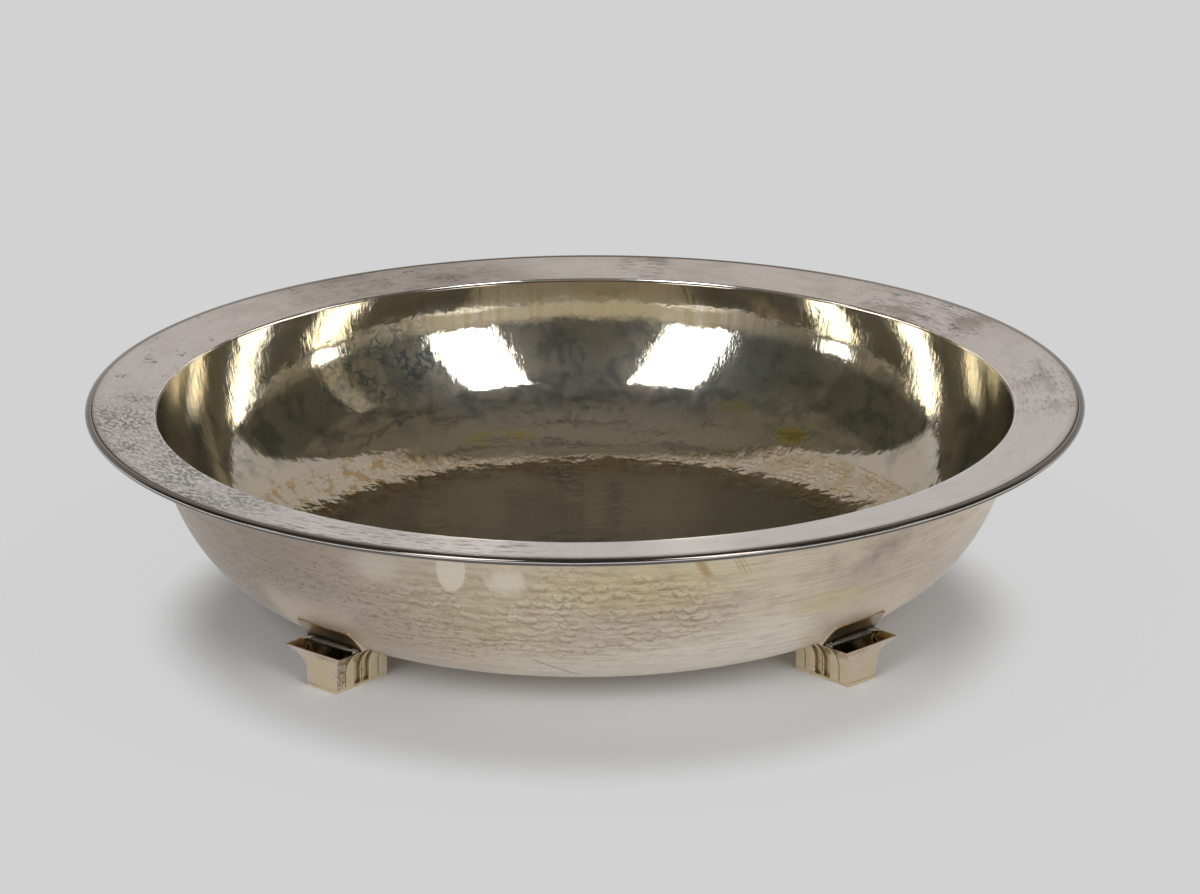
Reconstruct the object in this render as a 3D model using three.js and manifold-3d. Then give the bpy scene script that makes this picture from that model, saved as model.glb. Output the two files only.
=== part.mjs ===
import * as THREE from "three";
import { mergeVertices } from "three/addons/utils/BufferGeometryUtils.js";
import Module from "manifold-3d";

// A wide silver bowl with a broad flat rim, standing on four flared bracket feet.
// Millimetres. The bowl stands on z = 0, +Z is its axis and its front faces -Y.

// Overall sizes
const RIM_DIAMETER = 400;
const TOTAL_HEIGHT = 82;
const BASE_CLEARANCE = 2.5; // from the table up to the middle of the base

// Body, raised from one sheet
const BODY_WALL = 1.5;
const WALL_ROUNDNESS = 1.75; // higher keeps the wall upright further down
const BASE_FLATNESS = 6.6; // higher makes a broader, flatter base

// Rim plate, flush with the body's inside at the mouth, and the wire along its edge
const RIM_WIDTH = 28; // the wire included
const RIM_SHEET = 1.5;
const RIM_RISE = 3; // the rim's outer edge stands this much above its inner edge
const RIM_EASE = 0.8; // rounding of the rim's inner edge
const WIRE_DIAMETER = 3;

// Feet
const FOOT_AZIMUTH = 42; // degrees to either side of the front-to-back line
const FOOT_OVERHANG = 1.27; // the outer face at the table, beyond the body at the saddle's top
const FOOT_DEPTH = 28.4;
const FOOT_WIDTH = 16;
const LIP_HEIGHT = 16.8; // from the table up to the flared lip
const FLARE_START = 6.5; // the foot's sides are upright up to here
const FLARE_OUT = 4.9; // the lip overhangs the outer face by this
const FLARE_SIDE = 6.5; // and each side by this
const FOOT_SHEET = 1.2;
const CORNER_RADIUS = 0.5;
const SOLE_THICKNESS = 1.2;
const GROOVE_WIDTH = 0.7;
const GROOVE_DEPTH = 0.45;

// Reeded bays in the middle of each foot's two sides
const BAY_WIDTH = 7.8;
const REED_WIDTH = 1.2;
const REED_SPACING = 1.7;
const REED_SETBACK = 0.2; // the reeds end this far inside the side's face
const REED_SHOULDER = 0.5; // drop from a reed's ridge to its two shoulders
const STRIP_SHEET = 1;
const STRIP_LAP = 1.4; // the strip reaches this far behind the sheet at each side

// Saddle between a foot and the body, and the bar across its front
const SADDLE_SETBACK = 7.4; // from the foot's outer face in to the saddle's front face
const SADDLE_LEAN = 6.9; // the front face leans out by this at its top
const LEAN_CURVE = 1.15; // higher keeps the front face upright further up
const SADDLE_RISE = 8.4;
const SADDLE_CORNER = 1.2; // the front narrows by this at each end of its top
const CORNER_CURVE = 6; // higher keeps the corners square further up
const SADDLE_RETURN = 6; // length of the sides that run back under the body
const BAR_THICKNESS = 1.2;
const BAR_DROP = 0.6; // the bar's top lies this far under the lip

// Clearance left at every joint
const JOINT_GAP = 0.3;

// Points of one mesh closer than this are the same point
const MERGE_TOLERANCE = 1e-4;

// Fineness of the round forms
const ROUND_SEGMENTS = 80;
const PROFILE_STEPS = 15;
const WIRE_STEPS = 12;
const FLARE_STEPS = 4;
const CORNER_STEPS = 2;

// Colours of the metal
const SILVER_BODY = { color: 0xb0a28c, roughness: 0.28, metalness: 1 };
const SILVER_RIM = { color: 0xb5aeab, roughness: 0.42, metalness: 1 };
const SILVER_WIRE = { color: 0xc0b8b0, roughness: 0.22, metalness: 1 };
const SILVER_FOOT = { color: 0xc8b496, roughness: 0.3, metalness: 1 };
const SILVER_REED = { color: 0x9a8868, roughness: 0.35, metalness: 1 };
const SILVER_SOLE = { color: 0xa8987c, roughness: 0.4, metalness: 1 };

const RIM_RADIUS = RIM_DIAMETER / 2;
const RIM_INNER_RADIUS = RIM_RADIUS - RIM_WIDTH;
const MOUTH_RADIUS = RIM_INNER_RADIUS + BODY_WALL;
const WIRE_RADIUS = WIRE_DIAMETER / 2;
const SHELL_BOTTOM = SOLE_THICKNESS + JOINT_GAP;
const SADDLE_OFFSET = FOOT_DEPTH / 2 - SADDLE_SETBACK;
const SADDLE_BOTTOM = LIP_HEIGHT + JOINT_GAP;
const FOOT_REACH = bodyRadius(SADDLE_BOTTOM + SADDLE_RISE) + FOOT_OVERHANG;
const FOOT_MIDDLE = FOOT_REACH - FOOT_DEPTH / 2;

const wasm = await Module();
wasm.setup();

// A closed mesh as a solid for cutting and joining.
function solidOf(geometry) {
  const bare = geometry.clone();
  bare.deleteAttribute("normal");
  bare.deleteAttribute("uv");
  const merged = mergeVertices(bare, MERGE_TOLERANCE);
  return new wasm.Manifold(
    new wasm.Mesh({
      numProp: 3,
      vertProperties: merged.attributes.position.array,
      triVerts: new Uint32Array(merged.index.array),
    }),
  );
}

function geometryOf(solid) {
  const mesh = solid.getMesh();
  const geometry = new THREE.BufferGeometry();
  geometry.setAttribute("position", new THREE.BufferAttribute(mesh.vertProperties, 3));
  geometry.setIndex(new THREE.BufferAttribute(mesh.triVerts, 1));
  geometry.computeVertexNormals();
  return geometry;
}

function material(finish) {
  return new THREE.MeshStandardMaterial(finish);
}

function named(name, geometry, finish) {
  const mesh = new THREE.Mesh(geometry, material(finish));
  mesh.name = name;
  return mesh;
}

// A solid of revolution about +Z; the profile holds [radius, height] pairs.
function turned(profile, startAngle = 0) {
  const points = profile.map(([radius, height]) => new THREE.Vector2(radius, height));
  const geometry = new THREE.LatheGeometry(points, ROUND_SEGMENTS, startAngle, 2 * Math.PI);
  return geometry.rotateX(Math.PI / 2);
}

// A closed solid through a stack of outlines, each counter-clockwise and of equal length.
function lofted(outlines, heights) {
  const count = outlines[0].length;
  const positions = outlines.flatMap((outline, level) =>
    outline.flatMap(([x, y]) => [x, y, heights[level]]),
  );
  const index = [];
  for (let level = 0; level < outlines.length - 1; level++) {
    for (let i = 0; i < count; i++) {
      const a = level * count + i;
      const b = level * count + ((i + 1) % count);
      index.push(a, b, b + count, a, b + count, a + count);
    }
  }
  const capOf = (outline) =>
    THREE.ShapeUtils.triangulateShape(
      outline.map(([x, y]) => new THREE.Vector2(x, y)),
      [],
    );
  const top = (outlines.length - 1) * count;
  capOf(outlines[0]).forEach(([a, b, c]) => index.push(c, b, a));
  capOf(outlines.at(-1)).forEach(([a, b, c]) => index.push(top + a, top + b, top + c));
  const geometry = new THREE.BufferGeometry();
  geometry.setAttribute("position", new THREE.Float32BufferAttribute(positions, 3));
  geometry.setIndex(index);
  return geometry;
}

// The points of a quarter of a circle about (x, y), counter-clockwise from the start angle.
function quarterRound(x, y, radius, start) {
  const points = [];
  for (let i = 0; i <= CORNER_STEPS; i++) {
    const angle = start + ((i / CORNER_STEPS) * Math.PI) / 2;
    points.push([x + radius * Math.cos(angle), y + radius * Math.sin(angle)]);
  }
  return points;
}

// The radius of the body's outside at a height.
function bodyRadius(height) {
  const drop = (TOTAL_HEIGHT - height) / (TOTAL_HEIGHT - BASE_CLEARANCE);
  return MOUTH_RADIUS * Math.pow(1 - Math.pow(drop, WALL_ROUNDNESS), 1 / BASE_FLATNESS);
}

// A point of the body's outer profile: 0 is the mouth and 1 the middle of the base.
// The profile is moved outwards by offset, or inwards where that is negative.
function bodyPoint(share, offset) {
  const turn = (Math.PI / 2) * (1 - Math.pow(1 - share, BASE_FLATNESS / 2));
  const radius = (MOUTH_RADIUS + offset) * Math.pow(Math.cos(turn), 2 / BASE_FLATNESS);
  const drop = Math.pow(Math.sin(turn), 2 / WALL_ROUNDNESS);
  const depth = TOTAL_HEIGHT - BASE_CLEARANCE + offset;
  return [radius, TOTAL_HEIGHT - depth * drop];
}

function bodyProfile(offset) {
  const points = [];
  for (let i = PROFILE_STEPS; i >= 0; i--) {
    points.push(bodyPoint(i / PROFILE_STEPS, offset));
  }
  points[0][0] = 0;
  return points;
}

// The height of the rim's upper face at a radius.
function rimFace(radius) {
  const share = (radius - RIM_INNER_RADIUS) / (RIM_RADIUS - RIM_INNER_RADIUS);
  return TOTAL_HEIGHT - RIM_RISE * (1 - share);
}

function mouthHeight() {
  return rimFace(RIM_INNER_RADIUS) - RIM_SHEET - JOINT_GAP;
}

function cutAtMouth(points) {
  return points.map(([radius, height]) => [radius, Math.min(height, mouthHeight())]);
}

function bodyShell() {
  const outside = cutAtMouth(bodyProfile(0));
  const inside = cutAtMouth(bodyProfile(-BODY_WALL));
  return turned([...outside, ...inside.reverse()]);
}

// The rim's inner edge is eased by a quarter round.
function rimPlate() {
  const inner = RIM_INNER_RADIUS;
  const outer = RIM_RADIUS - WIRE_DIAMETER - JOINT_GAP;
  const under = (radius) => [radius, rimFace(radius) - RIM_SHEET];
  const ease = quarterRound(inner + RIM_EASE, rimFace(inner) - RIM_EASE, RIM_EASE, Math.PI / 2);
  return turned([under(inner), under(outer), [outer, rimFace(outer)], ...ease, under(inner)]);
}

function rimWire() {
  const profile = [];
  for (let i = 0; i <= WIRE_STEPS; i++) {
    const angle = (i / WIRE_STEPS) * 2 * Math.PI + Math.PI / 2;
    profile.push([
      RIM_RADIUS - WIRE_RADIUS + WIRE_RADIUS * Math.cos(angle),
      TOTAL_HEIGHT - WIRE_RADIUS + WIRE_RADIUS * Math.sin(angle),
    ]);
  }
  return turned(profile);
}

// The body's whole outside with the joint's clearance, in the frame of a turned foot.
function bodyClearance(azimuth) {
  const profile = bodyProfile(JOINT_GAP);
  return solidOf(turned([...profile, [0, TOTAL_HEIGHT]], -azimuth));
}

// How far a foot's side stands out at a height, as a share of the full flare.
function flareAt(height) {
  const share = (height - FLARE_START) / (LIP_HEIGHT - FLARE_START);
  return Math.pow(Math.max(0, share), 2);
}

function sideAt(height) {
  return FOOT_WIDTH / 2 + FLARE_SIDE * flareAt(height);
}

function flareHeights(top) {
  const heights = [SHELL_BOTTOM, FLARE_START];
  for (let i = 1; i <= FLARE_STEPS; i++) {
    heights.push(FLARE_START + ((top - FLARE_START) * i) / FLARE_STEPS);
  }
  return heights;
}

// The rounded corner of a foot whose faces would meet at (x, y).
function footCorner(x, y, start) {
  return quarterRound(
    x - Math.sign(x) * CORNER_RADIUS,
    y - Math.sign(y) * CORNER_RADIUS,
    CORNER_RADIUS,
    start,
  );
}

// Half a foot seen from above: a face with a side at each end, and a groove in each side.
function shellOutline(height) {
  const face = FOOT_DEPTH / 2 + FLARE_OUT * flareAt(height);
  const side = sideAt(height);
  const end = BAY_WIDTH / 2;
  const groove = (end + FOOT_DEPTH / 2) / 2;
  const half = GROOVE_WIDTH / 2;
  const lower = [
    [end, -side],
    [groove - half, -side],
    [groove, -side + GROOVE_DEPTH],
    [groove + half, -side],
    ...footCorner(face, -side, -Math.PI / 2),
  ];
  const upper = lower.map(([x, y]) => [x, -y]).reverse();
  const inner = [
    [end, side - FOOT_SHEET],
    [face - FOOT_SHEET, side - FOOT_SHEET],
    [face - FOOT_SHEET, -side + FOOT_SHEET],
    [end, -side + FOOT_SHEET],
  ];
  return [...lower, ...upper, ...inner];
}

function footShell() {
  const heights = flareHeights(LIP_HEIGHT);
  return lofted(heights.map(shellOutline), heights);
}

// One vertical reed seen from above, from its root to its rounded top.
function reedOutline(middle, root, top) {
  const half = REED_WIDTH / 2;
  const shoulder = top - REED_SHOULDER;
  return [
    [middle + half, root],
    [middle + half, shoulder],
    [middle, top],
    [middle - half, shoulder],
    [middle - half, root],
  ];
}

// The strip behind a bay, with its two reeds standing out towards +Y.
function stripOutline(height) {
  const side = sideAt(height);
  const root = side - FOOT_SHEET - JOINT_GAP;
  const back = root - STRIP_SHEET;
  const half = BAY_WIDTH / 2 + STRIP_LAP;
  const top = side - REED_SETBACK;
  return [
    [-half, back],
    [half, back],
    [half, root],
    ...reedOutline(REED_SPACING / 2, root, top),
    ...reedOutline(-REED_SPACING / 2, root, top),
    [-half, root],
  ];
}

function reedStrip() {
  const heights = flareHeights(LIP_HEIGHT);
  return lofted(heights.map(stripOutline), heights);
}

function sole() {
  const face = FOOT_DEPTH / 2;
  const side = FOOT_WIDTH / 2;
  const outline = [
    ...footCorner(face, -side, -Math.PI / 2),
    ...footCorner(face, side, 0),
    ...footCorner(-face, side, Math.PI / 2),
    ...footCorner(-face, -side, Math.PI),
  ];
  return lofted([outline, outline], [0, SOLE_THICKNESS]);
}

// The bar stands inside the outer shell, just in front of the saddle.
function crossBar() {
  const near = SADDLE_OFFSET + JOINT_GAP;
  const outlineAt = (height) => {
    const half = sideAt(height) - FOOT_SHEET - JOINT_GAP;
    return [
      [near, -half],
      [near + BAR_THICKNESS, -half],
      [near + BAR_THICKNESS, half],
      [near, half],
    ];
  };
  const heights = flareHeights(LIP_HEIGHT - BAR_DROP);
  return lofted(heights.map(outlineAt), heights);
}

// The saddle seen from above: a front plate and a return under the body at each end.
function saddleOutline(share) {
  const front = SADDLE_OFFSET + SADDLE_LEAN * Math.pow(share, LEAN_CURVE);
  const side = sideAt(LIP_HEIGHT) - SADDLE_CORNER * Math.pow(share, CORNER_CURVE);
  const back = SADDLE_OFFSET - SADDLE_RETURN;
  return [
    [back, -side],
    [front, -side],
    [front, side],
    [back, side],
    [back, side - FOOT_SHEET],
    [front - FOOT_SHEET, side - FOOT_SHEET],
    [front - FOOT_SHEET, -side + FOOT_SHEET],
    [back, -side + FOOT_SHEET],
  ];
}

function saddle() {
  const shares = [];
  for (let i = 0; i <= FLARE_STEPS; i++) {
    shares.push(i / FLARE_STEPS);
  }
  return lofted(
    shares.map(saddleOutline),
    shares.map((share) => SADDLE_BOTTOM + SADDLE_RISE * share),
  );
}

// One foot: its pieces are made about its own middle, +X pointing away from the bowl's axis.
function foot(place, azimuth) {
  const group = new THREE.Group();
  const clearance = bodyClearance(azimuth);
  const add = (piece, geometry, finish) => {
    geometry.translate(FOOT_MIDDLE, 0, 0);
    const trimmed = geometryOf(solidOf(geometry).subtract(clearance));
    group.add(named(`${place}_foot_${piece}`, trimmed, finish));
  };
  add("sole", sole(), SILVER_SOLE);
  add("outer_shell", footShell(), SILVER_FOOT);
  add("inner_shell", footShell().rotateZ(Math.PI), SILVER_FOOT);
  add("left_reeds", reedStrip(), SILVER_REED);
  add("right_reeds", reedStrip().rotateZ(Math.PI), SILVER_REED);
  add("cross_bar", crossBar(), SILVER_REED);
  add("saddle", saddle(), SILVER_FOOT);
  group.rotation.z = azimuth;
  return group;
}

const bowl = new THREE.Group();
bowl.add(named("body_shell", bodyShell(), SILVER_BODY));
bowl.add(named("rim_plate", rimPlate(), SILVER_RIM));
bowl.add(named("rim_wire", rimWire(), SILVER_WIRE));

const spread = THREE.MathUtils.degToRad(FOOT_AZIMUTH);
const feet = {
  front_right: -Math.PI / 2 + spread,
  front_left: -Math.PI / 2 - spread,
  back_right: Math.PI / 2 - spread,
  back_left: Math.PI / 2 + spread,
};
Object.entries(feet).forEach(([place, azimuth]) => bowl.add(foot(place, azimuth)));

export default bowl;
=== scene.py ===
"""A wide silver bowl with a broad flat rim, standing on four flared bracket feet."""

from math import asin, cos, hypot, pi, radians, sin

import bmesh
import bpy
from mathutils import Matrix, Vector


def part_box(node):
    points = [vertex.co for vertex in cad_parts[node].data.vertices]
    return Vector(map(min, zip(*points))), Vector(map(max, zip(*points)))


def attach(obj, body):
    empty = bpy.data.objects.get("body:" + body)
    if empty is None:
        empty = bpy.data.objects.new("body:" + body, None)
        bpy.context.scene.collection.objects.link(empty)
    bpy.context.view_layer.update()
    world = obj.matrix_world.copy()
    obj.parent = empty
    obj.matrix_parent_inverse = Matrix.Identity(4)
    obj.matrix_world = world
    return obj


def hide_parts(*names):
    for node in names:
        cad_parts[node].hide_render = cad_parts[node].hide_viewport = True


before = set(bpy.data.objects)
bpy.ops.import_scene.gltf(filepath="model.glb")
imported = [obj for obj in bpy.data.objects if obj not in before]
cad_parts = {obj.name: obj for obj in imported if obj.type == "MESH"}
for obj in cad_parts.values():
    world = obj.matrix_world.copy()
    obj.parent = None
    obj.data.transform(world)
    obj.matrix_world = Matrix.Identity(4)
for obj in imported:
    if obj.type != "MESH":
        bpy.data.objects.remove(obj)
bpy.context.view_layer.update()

bl_info = {
    "name": "Silver Bowl",
    "version": (1, 0, 0),
    "blender": (4, 5, 0),
    "location": "3D View > Sidebar > Silver Bowl",
    "description": "Models a footed silver bowl piece by piece around its measured frame",
    "category": "Add Mesh",
}

WIRE_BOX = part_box("rim_wire")
SOLE_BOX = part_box("front_right_foot_sole")
SOLE_MIDDLE = (SOLE_BOX[0] + SOLE_BOX[1]) / 2
FOOT_SPREAD = radians(42)
FEET = {
    "front_right": -pi / 2 + FOOT_SPREAD,
    "front_left": -pi / 2 - FOOT_SPREAD,
    "back_right": pi / 2 - FOOT_SPREAD,
    "back_left": pi / 2 + FOOT_SPREAD,
}
SAME_PLACE = 1e-6
SUNK = 0.0001
HAIR = 0.0002  # a piece reaches into its neighbour, or stops short of it, by this
ROUND_STEPS = 320
WALL_STEPS = 76
CUTTER_STEPS = 256
CUTTER_WALL_STEPS = 60
CUTTER_GAP = 0.00004
RIM_FACE_STEPS = 11
REED_STEPS = 6
STRIP_SHEET = 0.0008
TUCKED = 0.0006  # the reeded strip goes in behind the bent sheets by this
BEND = 0.00015
BEAD_SIDES = 10
BEAD_STEPS = 12
BEAD_PAST_SIDE = 0.0034
BEAD_THINNING = {0: 0.25, 1: 0.65, 2: 0.88}
WEB_SHEET = 0.0007
SADDLE_SHEET = 0.0009
SADDLE_CORNER = 0.0004
SADDLE_STEPS = 10
SADDLE_CURVE = 1.15
SADDLE_BACK_EDGE = 0.003  # this much of the saddle's back stays upright
SADDLE_NARROWING = 0.0012
SADDLE_NARROWS_LATE = 6
PHOTO_MIDDLE = (600.0, 447.0)
RIM_MIDDLE_SEEN = (585.0, 390.92)
FOCAL_PIXELS = 4455.0
DARK_CORNERS = (0.02, 0.018, 0.012)


def length(name, description, default):
    """A size that the panel shows as a length."""
    return bpy.props.FloatProperty(
        name=name,
        description=description,
        default=default,
        min=0.0,
        precision=5,
        subtype="DISTANCE",
        unit="LENGTH",
    )


def shape(name, description, default):
    """A plain number that bends a profile."""
    return bpy.props.FloatProperty(name=name, description=description, default=default, min=0.1)


def angle(name, description, default):
    """An angle that the panel shows in degrees."""
    return bpy.props.FloatProperty(
        name=name,
        description=description,
        default=radians(default),
        subtype="ANGLE",
        unit="ROTATION",
    )


def colour(name, description, default):
    """A colour that the panel shows as a swatch."""
    return bpy.props.FloatVectorProperty(
        name=name,
        description=description,
        default=default,
        size=3,
        min=0.0,
        max=1.0,
        subtype="COLOR",
    )


class BowlSizes(bpy.types.PropertyGroup):
    """Sizes of the body, the rim plate and the wire"""

    height: length("Height", "From the table to the top of the wire", WIRE_BOX[1].z)
    rim_radius: length("Rim radius", "From the axis to the wire's outside", WIRE_BOX[1].x)
    rim_width: length("Rim width", "From the rim's inner edge to the wire's outside", 0.028)
    rim_rise: length("Rim rise", "The rim's outer edge above its inner edge", 0.003)
    rim_sheet: length("Rim sheet", "Thickness of the rim plate", 0.0015)
    rim_ease: length("Rim ease", "Rounding of the rim's inner edge", 0.0008)
    wire_radius: length("Wire radius", "Half the wire's thickness", 0.0015)
    wall: length("Wall", "Thickness of the raised sheet", 0.0015)
    base_clearance: length("Base clearance", "From the table to the base", 0.0025)
    wall_roundness: shape("Wall roundness", "Higher keeps the wall upright further down", 1.75)
    base_flatness: shape("Base flatness", "Higher makes a broader, flatter base", 6.6)
    dents: length("Dents", "Depth of the unevenness that the hammer left", 0.00016)


class FootSizes(bpy.types.PropertyGroup):
    """Sizes of one foot, about its own middle with +X away from the bowl's axis"""

    reach: length("Reach", "From the bowl's axis to the foot's middle", hypot(*SOLE_MIDDLE.xy))
    depth: length("Depth", "From the inner face to the outer face at the table", 0.0284)
    width: length("Width", "From side to side at the table", 0.016)
    sole: length("Sole", "Thickness of the sole", SOLE_BOX[1].z)
    lip_height: length("Lip height", "From the table to the flared lip", 0.0168)
    flare_start: length("Flare start", "The sides are upright up to here", 0.0065)
    flare_out: length("Flare out", "The lip overhangs the outer face by this", 0.0049)
    flare_side: length("Flare side", "The lip overhangs each side by this", 0.0065)
    corner: length("Corner", "Rounding of the upright corners", 0.0005)
    sheet: length("Sheet", "Thickness of the sheet at the lip", 0.0009)
    bay: length("Bay", "Width of the reeded bay in each side", 0.0078)
    bay_depth: length("Bay depth", "From the side's face in to the bay's ground", 0.0015)
    reed_width: length("Reed width", "Width of one reed", 0.0008)
    reed_spacing: length("Reed spacing", "From reed to reed", 0.0010)
    groove: length("Groove", "Width of the line scribed down a side panel", 0.0007)
    saddle_offset: length("Saddle offset", "From the foot's middle to the saddle", 0.0068)
    saddle_lean: length("Saddle lean", "The saddle leans out by this at its top", 0.0066)
    saddle_rise: length("Saddle rise", "From the lip to the saddle's top", 0.0087)
    saddle_return: length("Saddle return", "Length of the saddle's two sides", 0.006)
    bar: length("Bar", "Thickness of the cross bar", 0.0012)
    bead: length("Bead", "Radius of the bead of solder along the bar's top", 0.0014)
    web: length("Web", "Length of the small web in each corner of the trough", 0.0036)


class SilverColours(bpy.types.PropertyGroup):
    """Colours of the metal, of what has settled on it, and of painted shade and reflections"""

    inside: colour("Inside", "Polished silver inside the bowl", (0.63, 0.585, 0.50))
    inside_tarnish: colour("Inside tarnish", "Yellow film inside the bowl", (0.56, 0.50, 0.35))
    inside_slate: colour("Inside slate", "Blue-grey stains inside the bowl", (0.24, 0.265, 0.27))
    inside_yellow: colour("Inside yellow", "Small yellow stains inside", (0.70, 0.60, 0.16))
    outside: colour("Outside", "Satin silver outside the bowl", (0.78, 0.67, 0.51))
    outside_pink: colour("Outside pink", "Pinkish film outside the bowl", (0.71, 0.59, 0.505))
    outside_gold: colour("Outside gold", "Golden film outside the bowl", (0.78, 0.66, 0.40))
    # Pale silver; low on the front it is also painted light, standing in for the pale floor that the body
    # mirrors.
    outside_cream: colour("Outside cream", "Clean pale silver outside", (0.87, 0.80, 0.67))
    # Mauve tarnish, and painted shade on the body's left, which gets less light.
    outside_tarnish_and_shade: colour("Outside shade", "Mauve tarnish at the left", (0.345, 0.285, 0.245))
    # Frosted silver, also painted paler to cover the shade and dark reflection of the feet on the body.
    outside_frost_and_light: colour("Outside frost", "Frosted silver around the feet", (0.80, 0.70, 0.58))
    outside_dirt: colour("Outside dirt", "Brown in the hammer marks", (0.26, 0.19, 0.10))
    stain: colour("Stain", "Golden brown stains", (0.44, 0.31, 0.15))
    rim: colour("Rim", "Satin silver of the rim", (0.82, 0.79, 0.775))
    rim_shade: colour("Rim shade", "Mauve film on the rim", (0.44, 0.385, 0.36))
    wire: colour("Wire", "Polished silver of the wire", (0.80, 0.77, 0.75))
    # Painted reflection: the dark that the wire mirrors from the dim room, painted into its colour.
    wire_painted_dark: colour("Wire shade", "Dark tarnish of the wire", (0.13, 0.11, 0.10))
    foot: colour("Foot", "Warm silver of the feet", (0.68, 0.565, 0.38))
    foot_pink: colour("Foot pink", "Pinkish film on the feet", (0.67, 0.545, 0.45))
    # Brown tarnish, and painted shade: deep inside each foot's trough and on the bar there, only shade
    # falls.
    trough: colour("Trough", "Brown tarnish in the feet's troughs", (0.085, 0.065, 0.035))
    # Brown film and painted shade on the saddles' fronts; also the paler top of the troughs inside.
    saddle_film_and_shade: colour("Saddle film", "Brown film on the saddles' fronts", (0.38, 0.285, 0.165))
    solder: colour("Solder", "Greenish solder on the cross bars", (0.29, 0.32, 0.255))
    brown: colour("Brown", "Old polish and tarnish in the low places", (0.16, 0.11, 0.06))
    slate: colour("Slate", "Grey solder and dark pits", (0.17, 0.16, 0.155))


class StudioSettings(bpy.types.PropertyGroup):
    """The floor, the room around it and the camera"""

    ground: colour("Ground", "Colour of the floor further out and of the backdrop", (0.645, 0.645, 0.645))
    shaded: colour("Shaded ground", "Colour of the lit floor near the bowl", (0.64, 0.653, 0.678))
    room: colour("Room", "Dim room in front of the bowl", (0.115, 0.115, 0.11))
    room_side: colour("Room side", "Sides of the room", (0.16, 0.145, 0.105))
    screen: colour("Screen", "Dark screens at both sides of the room", (0.07, 0.068, 0.05))
    post: colour("Post", "Pale post beside the right screen", (0.40, 0.36, 0.28))
    ceiling: colour("Ceiling", "Ceiling of the room", (0.21, 0.19, 0.155))
    low_wall: colour("Low wall", "Lit foot of the wall in front of the bowl", (0.60, 0.53, 0.42))
    backdrop: colour("Backdrop", "Upper backdrop as the metal shows it", (0.53, 0.49, 0.45))
    overhead: colour("Overhead", "Colour of the soft light above the bowl", (0.93, 0.97, 1.0))
    overhead_power: bpy.props.FloatProperty(
        name="Overhead power", description="Strength of the soft light above", default=0.6, min=0.0
    )
    window: bpy.props.FloatProperty(
        name="Window", description="Brightness of the two soft boxes", default=8.0, min=0.0
    )
    distance: length("Distance", "From the camera to the middle of the rim", 1.791)
    elevation: angle("Elevation", "The camera's height above the rim", 17.68)
    side: angle("Side", "The camera's turn about the bowl's axis", -1.09)
    roll: angle("Roll", "The camera's roll", -0.36)
    lens: bpy.props.FloatProperty(
        name="Lens", description="Focal length", default=133.65, min=1.0, unit="CAMERA"
    )


# Modelling by hand


def let_go():
    """Goes back to object mode with nothing selected."""
    if bpy.context.mode != "OBJECT":
        bpy.ops.object.mode_set(mode="OBJECT")
    bpy.ops.object.select_all(action="DESELECT")


def hold(piece):
    """Makes one piece the only selected and active one."""
    let_go()
    piece.select_set(True)
    bpy.context.view_layer.objects.active = piece


def edit(piece):
    """Opens a piece in edit mode with all of it selected."""
    hold(piece)
    bpy.ops.object.mode_set(mode="EDIT")
    bpy.ops.mesh.select_mode(type="VERT")
    bpy.ops.mesh.select_all(action="SELECT")


def pick(piece, test):
    """Selects the points of the open piece whose place passes a test."""
    mesh = bmesh.from_edit_mesh(piece.data)
    for point in mesh.verts:
        point.select_set(test(point.co))
    mesh.select_flush_mode()
    bmesh.update_edit_mesh(piece.data)


def line(name, points):
    """Draws an open line through points, by extruding one point along it."""
    let_go()
    bpy.ops.mesh.primitive_plane_add(size=0.01)
    piece = bpy.context.object
    piece.name = name
    piece.data.name = name
    edit(piece)
    bpy.ops.mesh.merge(type="CENTER")
    bpy.ops.transform.translate(value=points[0])
    for before, after in zip(points, points[1:]):
        step = {"value": after - before}
        bpy.ops.mesh.extrude_vertices_move(TRANSFORM_OT_translate=step)
    return piece


def outlined(name, outline):
    """Draws a closed outline, fills it and leaves its face selected."""
    piece = line(name, [*outline, outline[0]])
    bpy.ops.mesh.select_all(action="SELECT")
    bpy.ops.mesh.remove_doubles(threshold=SAME_PLACE)
    bpy.ops.mesh.select_all(action="SELECT")
    bpy.ops.mesh.edge_face_add()
    return piece


def extrude(*move):
    """Extrudes what is selected by a move."""
    bpy.ops.mesh.extrude_region_move(TRANSFORM_OT_translate={"value": move})


def close_up(piece):
    """Merges doubled points and turns every face outwards."""
    bpy.ops.mesh.select_all(action="SELECT")
    bpy.ops.mesh.remove_doubles(threshold=SAME_PLACE)
    bpy.ops.mesh.normals_make_consistent(inside=False)
    bpy.ops.object.mode_set(mode="OBJECT")


def spin(piece, segments):
    """Spins the open piece's section about the bowl's axis."""
    bpy.ops.mesh.select_all(action="SELECT")
    bpy.ops.mesh.spin(steps=segments, angle=2 * pi, center=(0, 0, 0), axis=(0, 0, 1))
    close_up(piece)


def modify(piece, kind, **settings):
    """Adds a modifier to a piece, sets it and applies it."""
    hold(piece)
    bpy.ops.object.modifier_add(type=kind)
    modifier = piece.modifiers[-1]
    for key, value in settings.items():
        setattr(modifier, key, value)
    bpy.ops.object.modifier_apply(modifier=modifier.name)


def ease_edges(piece, width):
    """Rounds a piece's sharp edges."""
    modify(piece, "BEVEL", width=width, segments=2, limit_method="ANGLE")


def smooth(piece, limit=35):
    """Shades a piece smooth, with creases where its faces meet sharply."""
    hold(piece)
    bpy.ops.object.shade_smooth_by_angle(angle=radians(limit))


def finish_piece(piece, slot, node, *materials):
    """Gives a piece its materials and lets it stand for its node of the frame."""
    for material in materials:
        piece.data.materials.append(material)
    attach(piece, "root")
    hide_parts(node)


# The bowl's profile


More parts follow.
